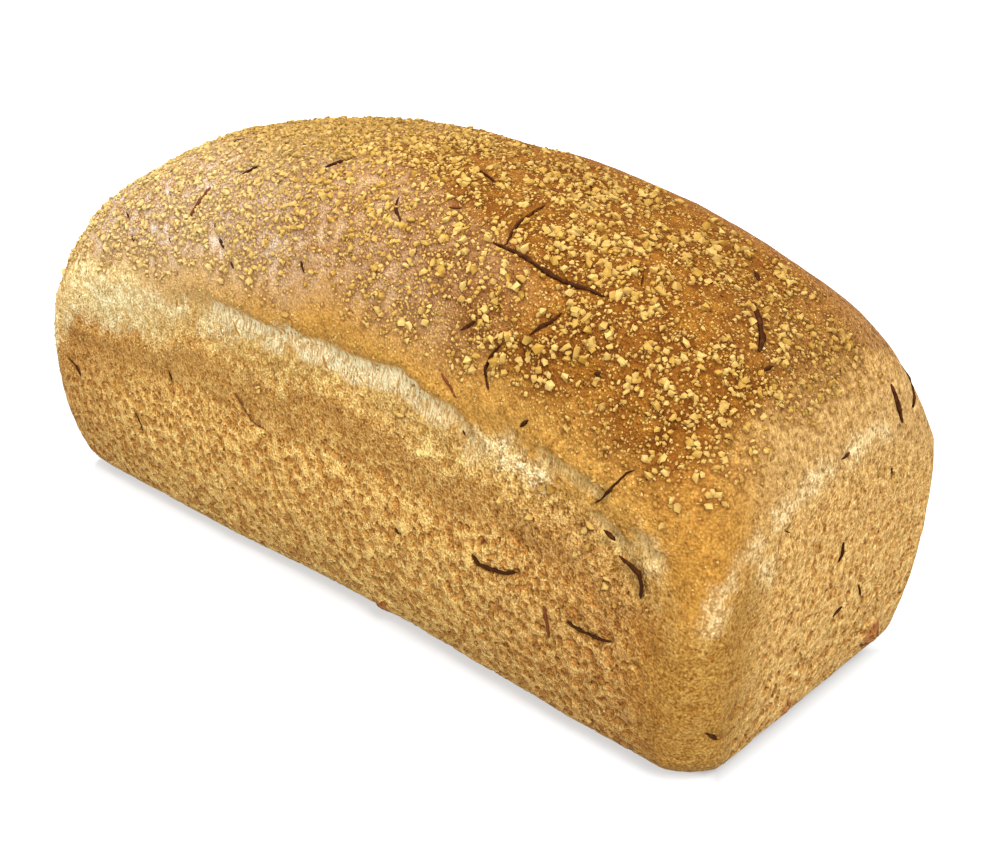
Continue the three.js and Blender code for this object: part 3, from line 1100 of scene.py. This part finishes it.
def crumb_tree(name, share_name, sides, rings):
    """Uneven crumbs strewn over the crust, as thickly as one of its attributes says."""
    g = new_tree(name)
    crust_shape = g.out(g.node("NodeGroupInput"), "Geometry")
    spacing = named_input(g, "Spacing", "NodeSocketFloat")
    smallest = named_input(g, "Smallest", "NodeSocketFloat")
    largest = named_input(g, "Largest", "NodeSocketFloat")
    seed = named_input(g, "Seed", "NodeSocketInt")
    material = named_input(g, "Material", "NodeSocketMaterial")
    strewn = g.node("GeometryNodeDistributePointsOnFaces", {"distribute_method": "POISSON"}, {
        "Mesh": crust_shape, "Distance Min": spacing * (CRUMB_CROWDING * MM),
        "Density Max": 1 / (spacing * spacing * MM * MM),
        "Density Factor": attribute(g, share_name),
        "Seed": seed,
    })
    x = g.split(place_in_mm(g))[0]
    grown = g.random(0.0, 1.0, seed + 1) ** CRUMB_FINENESS * g.step(x, *FAR_GRITS, 1, FAR_GRIT_SHARE)
    size = smallest + (largest - smallest) * grown * g.step(x, *NEAR_GRITS, 1, NEAR_GRIT_SHARE)
    points = with_attribute(g, g.out(strewn), "size", size)
    points = with_attribute(g, points, "tint", g.random(0.0, 1.0, seed + 2))
    tilts = [g.random(-CRUMB_TILT, CRUMB_TILT, seed + 3), g.random(-CRUMB_TILT, CRUMB_TILT, seed + 4)]
    turn = g.join(*tilts, g.random(0.0, CRUMB_TURN, seed + 5))
    turned = g.out(g.node("FunctionNodeRotateRotation", {"rotation_space": "LOCAL"}, {
        "Rotation": g.out(strewn, "Rotation"),
        "Rotate By": g.out(g.node("FunctionNodeEulerToRotation", None, {0: turn})),
    }))
    length = g.random(*CRUMB_LENGTHS, seed + 6)
    scale = g.join(size * length * MM, size * MM / length, size * CRUMB_FLATNESS * MM)
    counts = {"Radius": 1.0, "Segments": sides, "Rings": rings}
    ball = g.out(g.node("GeometryNodeMeshUVSphere", None, counts))
    lift = g.split(g.out(g.node("GeometryNodeInputPosition")))[2]
    # Each crumb's height, from foot to top, for its painted shade at the foot and painted light on top
    crumb = with_attribute(g, ball, "lift", lift)
    sockets = {"Points": points, "Instance": crumb, "Rotation": turned, "Scale": scale}
    crumbs = g.out(g.node("GeometryNodeInstanceOnPoints", None, sockets))
    real = g.out(g.node("GeometryNodeRealizeInstances", None, {0: crumbs}))
    place = place_in_mm(g)
    reach = attribute(g, "size") * CRUMB_KNOB_HEIGHT * MM
    knobs = g.vector_math("SUBTRACT", g.shift(place, CRUMB_KNOB, 1.0), place)
    rough = moved_by(g, real, g.vector_math("MULTIPLY", knobs, g.join(reach, reach, reach)))
    flat = g.out(g.node("GeometryNodeSetShadeSmooth", None, {"Geometry": rough, "Shade Smooth": False}))
    # A random value per facet, for painted light and shade that differs from facet to facet
    facets = with_attribute(g, flat, "facet", g.random(0.0, 1.0, seed + 7), domain="FACE")
    return end_tree(g, facets, material)


def seen_places(surface, marks, sink):
    """The places on the loaf behind a line of photo pixels, a little under its surface."""
    eye, right, up, back = photo_axes()
    places = []
    for (from_x, from_y), (to_x, to_y) in zip(marks, marks[1:]):
        steps = max(1, round(math.hypot(to_x - from_x, to_y - from_y) / PIXELS_PER_STEP))
        for step in range(steps):
            pixel_x = from_x + (to_x - from_x) * step / steps
            pixel_y = from_y + (to_y - from_y) * step / steps
            aside = (pixel_x - IMAGE_WIDTH / 2) / CAMERA_FOCAL_PIXELS
            down = (pixel_y - IMAGE_HEIGHT / 2) / CAMERA_FOCAL_PIXELS
            place, normal, _, _ = surface.ray_cast(eye, right * aside - up * down - back)
            if place is not None:
                places.append(place - normal * sink * MM)
    return places


def back_tear_places(surface, start, end):
    """The lip of a tear on the back wall, along its break."""
    places = []
    for x in range(start, end, BACK_TEAR_STEP):
        along = x / BREAK_HALF_LENGTH
        wave = BREAK_WAVER * math.sin(x / WAVE_LENGTH + BACK_BREAK_START)
        z = BREAK_HEIGHT + BACK_TEAR_LIFT - BREAK_END_DROP * along * along + wave
        place, _, _, _ = surface.ray_cast(Vector((x, BROW_WIDTH, z)) * MM, Vector((0, -1, 0)))
        places.append(place)
    return places


def edge_lines(name, lines):
    """A piece with one line of edges through each list of places."""
    piece = new_piece(name)
    vertices = []
    edges = []
    for places in lines:
        first = len(vertices)
        vertices += places
        edges += [(first + step, first + step + 1) for step in range(len(places) - 1)]
    piece.data.from_pydata(vertices, edges, [])
    return piece


def drawn_vector(chance, ranges):
    """A vector with each part drawn from its own range."""
    return Vector([chance.uniform(*part) for part in ranges])


def hidden_places(surface, chance):
    """The places of one shred on a side of the loaf that doesn't show."""
    eye = photo_axes()[0]
    while True:
        outward = drawn_vector(chance, HIDDEN_OUTWARD).normalized()
        start = drawn_vector(chance, HIDDEN_STARTS_M)
        place, normal, _, _ = surface.ray_cast(start, outward)
        if place is not None and normal.dot(eye - place) < 0 and place.z > HIDDEN_LOWEST * MM:
            break
    heading = normal.cross(drawn_vector(chance, ANY_WAY)).normalized()
    bend = chance.uniform(-HIDDEN_BEND, HIDDEN_BEND)
    places = []
    for _ in range(chance.randint(*HIDDEN_STEPS)):
        places.append(place - normal * SHRED_SINK * MM)
        heading = (heading + normal.cross(heading) * bend).normalized()
        place, normal, _, _ = surface.find_nearest(place + heading * SHRED_STEP * MM)
    return places


def shred_lines(surface):
    """One line of edges for each shred, with its thickness and how scorched it is."""
    lines = []
    kinds = ((SCORCHED_SHREDS, SCORCHED), (REDDISH_SHREDS, REDDISH), (BROWNED_STRANDS, BROWNED))
    for kind, scorch in kinds:
        for thickness, *marks in kind:
            lines.append((thickness, scorch, seen_places(surface, marks, SHRED_SINK)))
    chance = random.Random(HIDDEN_SHRED_SEED)
    for _ in range(HIDDEN_SHRED_COUNT):
        scorch = SCORCHED if chance.random() < HIDDEN_SCORCHED_SHARE else REDDISH
        lines.append((chance.uniform(*HIDDEN_THICKNESS), scorch, hidden_places(surface, chance)))
    piece = edge_lines("shred_lines", [places for _, _, places in lines])
    for name, column in (("thickness", 0), ("scorch", 1)):
        values = [line[column] for line in lines for _ in line[2]]
        piece.data.attributes.new(name, "FLOAT", "POINT").data.foreach_set("value", values)
    return piece


def screen_colour(colour, light=LIGHT_ON_WALLS):
    """The shader's colour for a surface that is to look like a screen colour in the studio's light."""
    shares = [part / 255 for part in colour]
    linear = [
        share / 12.92 if share <= 0.04045 else ((share + 0.055) / 1.055) ** 2.4 for share in shares
    ]
    return [part / light for part in linear] + [1.0]


def crown_tone(colour):
    """The shader's colour for a part of the crown that is to look like a screen colour."""
    return screen_colour(colour, LIGHT_ON_CROWN)


def new_material(name, roughness):
    """A new material: the graph of its nodes, and its shader."""
    material = bpy.data.materials.new(name)
    material.use_nodes = True
    shader = material.node_tree.nodes["Principled BSDF"]
    shader.inputs["Roughness"].default_value = roughness
    shader.inputs["Specular IOR Level"].default_value = PLAIN_SPECULAR
    return material, Graph(material.node_tree), shader


def stored(g, name, output="Fac"):
    """A value that a tree stored on the mesh, or a place where the output is Vector."""
    return g.out(g.node("ShaderNodeAttribute", {"attribute_name": name}), output)


def crust_patterns(g):
    """Where a place of the crust is, and the patterns that meet there."""
    here = SimpleNamespace()
    here.place = stored(g, "smooth_place", "Vector")
    here.x, here.y, here.z = g.split(here.place)
    here.above = stored(g, "above_break")
    here.patches = stored(g, "patches")
    here.spots = stored(g, "spots")
    here.ends = stored(g, "ends")
    here.corner = stored(g, "corner")
    here.porous = stored(g, "porous")
    pore_place = stored(g, "pore_place", "Vector")
    here.pores, here.pinholes = wall_pores(g, pore_place, here.ends, here.corner, here.porous, here.above)
    # The pores looked up a little higher: a pore's top with no pore above gets painted shade, the lip under
    # a pore gets painted light
    higher = g.vector_math("ADD", pore_place, (0, 0, PORE_SHADE))
    pores_over = pore_share(g, higher, here.ends) * here.porous
    here.hollows = here.pores * (1 - pores_over)
    here.ridges = pores_over * (1 - here.pores)
    here.grains = crumb_grains(g, here.place)
    here.mottle = g.noise(here.place, MOTTLE_SIZE, 1)
    here.blots = g.noise(here.place, BLOT_SIZE, 1)
    here.strands = torn_strands(g, stored(g, "strand_place", "Vector"))
    return here


def tinted(g, share, colour, plain, changed):
    """The colour, changed by a share the way that takes one screen colour to another."""
    ratio = [new / old for new, old in zip(screen_colour(changed), screen_colour(plain))]
    return g.vector_math("MULTIPLY", colour, g.mix_colour(share, (1, 1, 1, 1), ratio))


def ramp(g, value, stops):
    """A colour that goes from one screen colour to the next as a value goes from 0 to 1."""
    shades = [(place, screen_colour(colour)[:3]) for place, colour in stops]
    return g.out(g.node("ShaderNodeValToRGB", {"stops": shades}, {0: value}))


def stray(here, patches, spots):
    """How far an edge strays, in mm, by the crust's patches and spots."""
    return patches * here.patches + spots * here.spots


def wall_colour(g, here):
    """The pitted honey walls: browner under the break, golden at the near corner, sandy at the ends; painted
    shade in the pores and pinholes and painted light on the lips under the pores.
    """
    # Pores and pinholes darken by painted shade, and the lips under the pores lighten by painted light
    depth = PLAIN_WALL + PORE_PAINTED_SHADE * here.pores + PORE_TOP_PAINTED_SHADE * here.hollows
    depth = depth - PORE_LIP_PAINTED_LIGHT * here.ridges
    depth = depth + (PINHOLE_PAINTED_SHADE + END_PINHOLE_PAINTED_SHADE * here.ends) * here.pinholes
    depth = depth - (MOTTLE_LIGHTNESS - POROUS_MOTTLE_LOSS * here.porous) * here.mottle
    wall = ramp(g, depth - SPOT_LIGHTNESS * here.spots, WALL_STOPS)
    wall = tinted(g, here.ends, wall, WALL_HONEY, END_SAND)
    toasted = g.step(here.x + TOASTED_STRAY * here.patches, *TOASTED_ALONG) * (1 - here.ends) * TOASTED_SHARE
    left_toasted = g.step(here.x + LEFT_TOASTED_STRAY * here.patches, *LEFT_TOASTED_ALONG)
    wall = tinted(g, toasted + left_toasted * LEFT_TOASTED_SHARE, wall, WALL_HONEY, WALL_TOASTED)
    blotches = g.step(here.spots + BLOTCH_MIX * here.blots + BLOTCH_MIX * here.patches, *BLOTCH_LEVELS)
    blotches = blotches * g.step(here.x, *BLOTCH_ALONG) * (1 - END_LOSS * here.ends)
    corner = near_corner(g, here.x, here.y + CORNER_STRAY * here.patches)
    blotches = blotches * (BLOTCH_SHARE + CORNER_BLOTCH_SHARE * corner)
    wall = g.mix_colour(blotches, wall, screen_colour(BLOTCH_BROWN))
    wall = tinted(g, corner, wall, WALL_HONEY, CORNER_GOLD)
    band = g.step(here.above + stray(here, *BAND_STRAY), *BAND_OVER_BREAK) * (1 - END_LOSS * here.ends)
    band = band * g.step(here.x, *BAND_TO_RIGHT, 1, BAND_RIGHT_SHARE)
    wall = tinted(g, band, wall, WALL_HONEY, BAND_BROWN)
    base = g.step(here.z + BASE_STRAY * here.spots, *BASE_HEIGHTS) * BASE_SHARE
    wall = g.mix_colour(base, wall, screen_colour(BASE_BROWN))
    lumps = g.step(stored(g, "lumps"), *LUMP_LEVELS) * LUMP_SHARE
    return g.mix_colour(lumps, wall, screen_colour(LUMP_RED))


def far_ridge_share(g, x, z):
    """1 along the top of the crown's far half."""
    return g.step(z, *RIDGE_HEIGHTS) * g.step(x, *RIDGE_ALONG)


def crown_colour(g, here):
    """The browned crown: rosy and dusted with meal towards the far end, plain brown along the back, tan with
    painted shade along its far top.
    """
    browned = BROWNED_PATCHES * here.patches + here.spots
    browned = browned + BROWNED_MOTTLE * here.mottle + BROWNED_BLOTS * here.blots
    browned = g.step(browned, *BROWNED_LEVELS)
    crown = g.mix_colour(browned, crown_tone(CROWN_GOLD), crown_tone(CROWN_BROWN))
    far_end = g.step(here.x, *LILAC_ALONG) * g.step(here.y, *LILAC_ACROSS, LILAC_LEAST, 1)
    pale = g.mix_colour(far_end, crown_tone(CROWN_BLUSH), crown_tone(CROWN_LILAC))
    rose = g.mix_colour(far_end, crown_tone(CROWN_ROSE), crown_tone(CROWN_MAUVE))
    front_reach = ROSY_FRONT_REACH * g.step(here.y, *ROSY_FRONT)
    rosy = g.step(here.x - front_reach + ROSY_STRAY * here.patches, *ROSY_ALONG) * ROSY_SHARE
    crown = g.mix_colour(rosy, crown, g.mix_colour(browned, pale, rose))
    to_back = g.step(here.y, *CROWN_TO_BACK) * CROWN_BACK_SHARE
    crown = g.mix_colour(to_back, crown, crown_tone(CROWN_BACK))
    to_end = g.step(here.x, *CROWN_TO_END) * g.step(here.y, *CROWN_END_ACROSS) * CROWN_END_SHARE
    crown = g.mix_colour(to_end, crown, crown_tone(END_GOLD))
    # Tan along the crown's far top: partly the crust's own colour, partly painted shade
    crown = tinted(g, far_ridge_share(g, here.x, here.z), crown, CROWN_BLUSH, RIDGE_TAN_AND_PAINTED_SHADE)
    dust = g.step(here.grains + DUST_MEAL * stored(g, "meal_share"), *DUST_LEVELS)
    dust = dust * g.step(here.x, *DUST_ALONG, *DUST_SHARES)
    return g.mix_colour(dust, crown, crown_tone(DUST_YELLOW))


def crumb_colour(g, here, crust_colour):
    """The pale granular crumb along the break, and its paler streaks, over the crust's colour."""
    off = here.above + stray(here, *TORN_STRAY)
    to_left = g.step(here.x, *CRUMB_TO_LEFT)
    low = g.mix(to_left, CRUMB_FOOT, LEFT_CRUMB_FOOT)
    high = g.mix(to_left, CRUMB_TOP, LEFT_CRUMB_TOP)
    fade = g.step(here.x, *CRUMB_TO_RIGHT, *CRUMB_SHARES)
    fade = fade * (1 - CRUMB_END_LOSS * here.ends) * (1 - LEFT_CRUMB_LOSS * to_left)
    crumb = g.step(off, low, low + CRUMB_FOOT_FADE) * g.step(off, high, high - CRUMB_TOP_FADE) * fade
    granular = g.step(GRANULAR_MOTTLE * here.mottle + here.blots + here.spots, *GRANULAR_LEVELS)
    pale = g.mix_colour(to_left, screen_colour(CRUMB_PALE), screen_colour(PALE_CRUST))
    brown = g.mix_colour(to_left, screen_colour(CRUMB_BROWN), screen_colour(CRUMB_PALE))
    colour = g.mix_colour(crumb, crust_colour, g.mix_colour(granular, brown, pale))
    ragged = stray(here, *STREAK_STRAY) + STREAK_STRAND_STRAY * here.strands
    streaks = g.step(stored(g, "streak_far") + ragged, PALE_REACH, PALE_CORE)
    streaks = streaks * g.step(here.x, *STREAK_TO_RIGHT, *STREAK_SHARES)
    streaks = streaks * g.step(granular, *STREAK_GRAIN, STREAK_GRAIN_LEAST, 1)
    streak = g.mix_colour(to_left, screen_colour(STREAK_GOLD), screen_colour(PALE_CRUST))
    return g.mix_colour(streaks, colour, streak)


def slit_share(g, here):
    """1 in the open tears, which have ragged feet."""
    ragged = SLIT_RAGGED * here.spots + SLIT_FINE_STRAY * here.mottle
    return tear_share(g, here.x, stored(g, "drop"), stored(g, "aside"), ragged)


def torn_colour(g, here):
    """The cream strands in the open tears, shaded by the lip over them."""
    to_right = g.step(here.x, *TORN_TO_RIGHT)
    bright = g.mix_colour(to_right, screen_colour(TORN_CREAM), screen_colour(TORN_WARM))
    cream = g.mix_colour(g.step(here.strands, *STRAND_LEVELS), screen_colour(TORN_SHADE), bright)
    shadow = g.step(stored(g, "drop"), *LIP_SHADOW) * LIP_SHADOW_SHARE
    return g.mix_colour(shadow, cream, screen_colour(TORN_SHADE))


def far_crease_share(g, here):
    """How much shows of the broken pale streaks over the far end wall."""
    off = here.above + stray(here, *CREASE_STRAY)
    streaks = g.step(here.strands + here.mottle + here.spots, *CREASE_LEVELS)
    return g.step(abs(off), *CREASE_WIDTH) * streaks * g.step(here.x, *CREASE_ALONG) * CREASE_SHARE


def gold_colour(g, here):
    """The gold crust between the break and the crown."""
    gold = g.mix_colour(g.step(here.x, *GOLD_TO_FAR), crown_tone(GOLD), crown_tone(FAR_GOLD))
    gold = g.mix_colour(here.ends * g.step(here.y, *GOLD_TO_END), gold, crown_tone(END_GOLD))
    return tinted(g, CORNER_GOLD_SHARE * here.corner, gold, GOLD, CORNER_GOLD)


def painted_grit_shade(g, here, colour):
    """The crust's colour, with painted shade close to the grits."""
    # Painted shade on the crust close to the grits
    near = g.step(stored(g, "grit_far"), *GRIT_SHADE_REACH)
    far_painted_grit_shade = near * g.step(here.x, *GRIT_SHADE_ALONG, *FAR_PAINTED_GRIT_SHADE_SHARES)
    colour = g.mix_colour(far_painted_grit_shade, colour, crown_tone(FAR_PAINTED_GRIT_SHADE))
    under = near * g.step(here.x, *GRIT_SHADE_ALONG, *CROWN_PAINTED_GRIT_SHADE_SHARES)
    return tinted(g, under, colour, GOLD, CROWN_PAINTED_GRIT_SHADE)


def specked(g, here, slit, colour):
    """The crust's colour with its specks: the darker a speck, the warmer."""
    uneven = GRAIN_SHARE * here.grains + (MOTTLE_SHARE - POROUS_MOTTLE_SHARE * here.porous) * here.mottle
    blotted = g.maximum(END_BLOT_SHARE * here.ends, g.step(here.x, *BLOT_ALONG, *BLOT_SHARES))
    blotted = blotted * (1 - CORNER_BLOT_LOSS * here.corner)
    uneven = uneven + SPOT_SHARE * here.spots + here.blots * blotted
    level = g.maximum(1 + uneven * (1 - SLIT_SPECK_LOSS * slit) / CRUST_LEVEL, LEAST_LEVEL)
    warm = g.join(CRUST_LEVEL * level, CRUST_LEVEL * level**SPECK_GREEN, CRUST_LEVEL * level**SPECK_BLUE)
    return g.vector_math("MULTIPLY", colour, warm)


def fine_relief(g, here):
    """The height of the crust's grains, specks and pores, smoother at the ends and over the break."""
    height = GRAIN_HEIGHT * here.grains + MOTTLE_HEIGHT * here.mottle + BLOT_HEIGHT * here.blots
    slope = g.step(here.above, *SMOOTH_FROM) * g.step(here.above, *SMOOTH_TO, SMOOTH_CROWN, 1)
    smoother = g.maximum(g.maximum(here.corner, SMOOTH_ENDS * here.ends), slope)
    height = (height - PINHOLE_DEPTH * here.pinholes) * (1 - SMOOTH_SHARE * smoother)
    return height - PORE_DEPTH * here.pores


def crust_material():
    """Honey-coloured pitted walls, a pale torn break, and a browned crown."""
    material, g, shader = new_material("crust", CRUST_ROUGHNESS)
    here = crust_patterns(g)
    turn = here.above + stray(here, *TURN_STRAY) - CROWN_END_DROP * here.ends
    colour = g.mix_colour(g.step(turn, *CROWN_OVER_BREAK), gold_colour(g, here), crown_colour(g, here))
    wall = g.step(here.above + WALL_STRAY * here.patches, *WALL_UNDER_BREAK)
    colour = g.mix_colour(wall, colour, wall_colour(g, here))
    slit = slit_share(g, here)
    colour = g.mix_colour(slit, crumb_colour(g, here, colour), torn_colour(g, here))
    colour = g.mix_colour(far_crease_share(g, here), colour, screen_colour(PALE_CRUST))
    colour = painted_grit_shade(g, here, colour)
    g.feed(shader.inputs["Base Color"], specked(g, here, slit, colour))
    relief = {"Strength": 1.0, "Distance": RELIEF_REACH * MM, "Height": fine_relief(g, here)}
    g.feed(shader.inputs["Normal"], g.out(g.node("ShaderNodeBump", None, relief)))
    return material


def object_place(g):
    """Where each place of a material's piece is, in mm."""
    return g.vector_math("DIVIDE", g.out(g.node("ShaderNodeTexCoord"), "Object"), [MM] * 3)


def corn_material():
    """Yellow crumbs, each with its own tint, with painted shade at their feet and painted light on their
    tops, and painted light and shade that differs from facet to facet.
    """
    material, g, shader = new_material("corn", CORN_ROUGHNESS)
    x, y, z = g.split(object_place(g))
    tint = g.mix_colour(stored(g, "tint"), crown_tone(CORN_DEEP), crown_tone(CORN_LIGHT))
    pale = g.step(x, *CORN_PALE_ALONG) * g.step(y, *CORN_PALE_ACROSS, *CORN_PALE_SHARES)
    tint = g.mix_colour(pale, tint, crown_tone(CORN_PALE))
    # Painted light and shade: darker at each crumb's foot, lighter on its top, different from facet to facet
    level = CORN_MIDDLE_LEVEL + CORN_PAINTED_LIGHT_BY_HEIGHT * stored(g, "lift")
    level = level * (FACET_LEVEL + FACET_PAINTED_LIGHT_SPREAD * stored(g, "facet"))
    level = level * g.step(y, *CORN_TO_BACK, 1, CORN_BACK_LEVEL)
    level = level * g.step(x, *CORN_TO_NEAR, 1, CORN_NEAR_LEVEL)
    # Painted shade on the grits along the crown's far top
    level = level * (1 - CORN_RIDGE_PAINTED_SHADE * far_ridge_share(g, x, z))
    warm = g.join(level, level**SPECK_GREEN * CORN_GREEN, level**SPECK_BLUE * CORN_BLUE)
    g.feed(shader.inputs["Base Color"], g.vector_math("MULTIPLY", tint, warm))
    return material


def carrot_material():
    """Shreds from browned through reddish to scorched black."""
    material, g, shader = new_material("carrot", CRUST_ROUGHNESS)
    scorch = stored(g, "scorch") * (1 + SCORCH_SPREAD * g.noise(object_place(g), SCORCH_SPOT_SIZE))
    g.feed(shader.inputs["Base Color"], ramp(g, scorch, SHRED_STOPS))
    return material


def photo_axes():
    """The camera's eye in metres, and its right, up and backward directions."""
    azimuth = math.radians(CAMERA_AZIMUTH)
    elevation = math.radians(CAMERA_ELEVATION)
    level = Vector((math.sin(azimuth), -math.cos(azimuth), 0))
    back = level * math.cos(elevation) + Vector((0, 0, math.sin(elevation)))
    right = Vector((math.cos(azimuth), math.sin(azimuth), 0))
    up = back.cross(right)
    eye = (Vector((0, 0, CAMERA_AIM_HEIGHT)) + back * CAMERA_DISTANCE) * MM
    yaw = math.atan((CAMERA_AIM_PIXEL[0] - IMAGE_WIDTH / 2) / CAMERA_FOCAL_PIXELS)
    pitch = math.atan((CAMERA_AIM_PIXEL[1] - IMAGE_HEIGHT / 2) / CAMERA_FOCAL_PIXELS)
    turned_back = back * math.cos(yaw) + right * math.sin(yaw)
    turned_right = right * math.cos(yaw) - back * math.sin(yaw)
    final_back = turned_back * math.cos(pitch) - up * math.sin(pitch)
    final_up = up * math.cos(pitch) + turned_back * math.sin(pitch)
    return eye, turned_right, final_up, final_back


def add_camera():
    eye, right, up, back = photo_axes()
    data = bpy.data.cameras.new("photo_camera")
    data.sensor_fit = "HORIZONTAL"
    data.sensor_width = SENSOR_WIDTH
    data.lens = SENSOR_WIDTH * CAMERA_FOCAL_PIXELS / IMAGE_WIDTH
    data.clip_start = CLIP_START_M
    camera = bpy.data.objects.new("photo_camera", data)
    turn = Matrix((right, up, back)).transposed()
    camera.matrix_world = Matrix.Translation(eye) @ turn.to_4x4()
    bpy.context.scene.collection.objects.link(camera)
    bpy.context.scene.camera = camera


def grey(level):
    return (level, level, level, 1)


def add_floor():
    """A pale plain floor that glows less near the loaf, and least close to its ends: a painted shadow around
    the loaf.
    """
    floor = new_piece("floor")
    bm = bmesh.new()
    bmesh.ops.create_grid(bm, x_segments=1, y_segments=1, size=FLOOR_HALF_SIZE)
    bm.to_mesh(floor.data)
    bm.free()
    material = bpy.data.materials.new("floor_white")
    material.use_nodes = True
    shader = material.node_tree.nodes["Principled BSDF"]
    shader.inputs["Base Color"].default_value = grey(FLOOR_GREY)
    shader.inputs["Roughness"].default_value = FLOOR_ROUGHNESS
    shader.inputs["Emission Strength"].default_value = 1
    g = Graph(material.node_tree)
    place = g.out(g.node("ShaderNodeTexCoord"), "Object")
    away = g.out(g.node("ShaderNodeVectorMath", {"operation": "LENGTH"}, {0: place}), "Value")
    # The glow is dimmed near the loaf: a painted shadow around it
    glow = g.mix_colour(g.step(away, *FLOOR_GLOW_REACH), grey(PAINTED_SHADOW_GLOW), grey(1))
    x, y, _ = g.split(place)
    # Weakest just by the loaf's ends: a painted contact shadow
    clear = g.maximum(g.step(abs(x), *END_SHADE_ALONG), g.step(abs(y), *END_SHADE_ACROSS))
    g.feed(shader.inputs["Emission Color"], g.mix_colour(clear, grey(END_PAINTED_SHADOW_GLOW), glow))
    floor.data.materials.append(material)


def add_light(name, place, size, power):
    data = bpy.data.lights.new(name, "AREA")
    data.shape = "SQUARE"
    data.size = size
    data.energy = power
    light = bpy.data.objects.new(name, data)
    light.location = place
    aim = Vector(LIGHT_AIM) - Vector(place)
    light.rotation_euler = aim.to_track_quat("-Z", "Y").to_euler()
    bpy.context.scene.collection.objects.link(light)


def add_world(strength):
    world = bpy.data.worlds.new("studio")
    world.use_nodes = True
    background = world.node_tree.nodes["Background"]
    background.inputs["Color"].default_value = grey(1)
    background.inputs["Strength"].default_value = strength
    bpy.context.scene.world = world


crust = new_piece("crust")
close_base(made_mesh(crust, loaf_form_tree(), {
    "Faces Along": FACES_ALONG, "Faces Across": FACES_ACROSS, "Faces Up": FACES_UP,
}))
surface = BVHTree.FromPolygons(
    [vertex.co for vertex in crust.data.vertices], [polygon.vertices for polygon in crust.data.polygons]
)
lines = shred_lines(surface)
lips = edge_lines("tear_lips", [
    *[seen_places(surface, marks, 0) for marks in TEAR_LIPS],
    *[back_tear_places(surface, start, end) for start, end in BACK_TEARS],
])
streaks = edge_lines("pale_streaks", [seen_places(surface, marks, 0) for marks in PALE_STREAKS])
crust_finish = crust_material()
made_mesh(crust, crust_relief_tree(), {
    "Shred Lines": lines, "Tear Lips": lips, "Pale Streaks": streaks, "Material": crust_finish,
})

corn = corn_material()
grits = new_piece("corn_grits")
grits.data = crust.data
made_mesh(grits, crumb_tree("corn_grits", "grit_share", *GRIT_SIDES_AND_RINGS), {
    "Spacing": GRIT_SPACING, "Smallest": GRIT_SMALLEST, "Largest": GRIT_LARGEST,
    "Seed": GRIT_SEED, "Material": corn,
})
made_mesh(crust, grit_shade_tree(), {"Grits": grits, "Material": crust_finish})
crust.data.shade_smooth()
meal = new_piece("corn_meal")
meal.data = crust.data
made_mesh(meal, crumb_tree("corn_meal", "meal_share", *MEAL_SIDES_AND_RINGS), {
    "Spacing": MEAL_SPACING, "Smallest": MEAL_SMALLEST, "Largest": MEAL_LARGEST,
    "Seed": MEAL_SEED, "Material": corn,
})
shreds = new_piece("carrot_shreds")
shreds.data = lines.data
made_mesh(shreds, shred_strip_tree(), {"Radius": SHRED_RADIUS, "Material": carrot_material()})
for guide in (lines, lips, streaks):
    bpy.data.objects.remove(guide)

for piece, slot in ((crust, "crust"), (grits, "corn"), (meal, "corn"), (shreds, "carrot")):
    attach(piece, "root")
    print(piece.name, sum(len(polygon.vertices) - 2 for polygon in piece.data.polygons), "triangles")
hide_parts("loaf")

add_camera()
add_floor()
add_world(WORLD_LIGHT)
for studio_light in STUDIO_LIGHTS:
    add_light(*studio_light)
bpy.context.scene.view_settings.view_transform = "Standard"
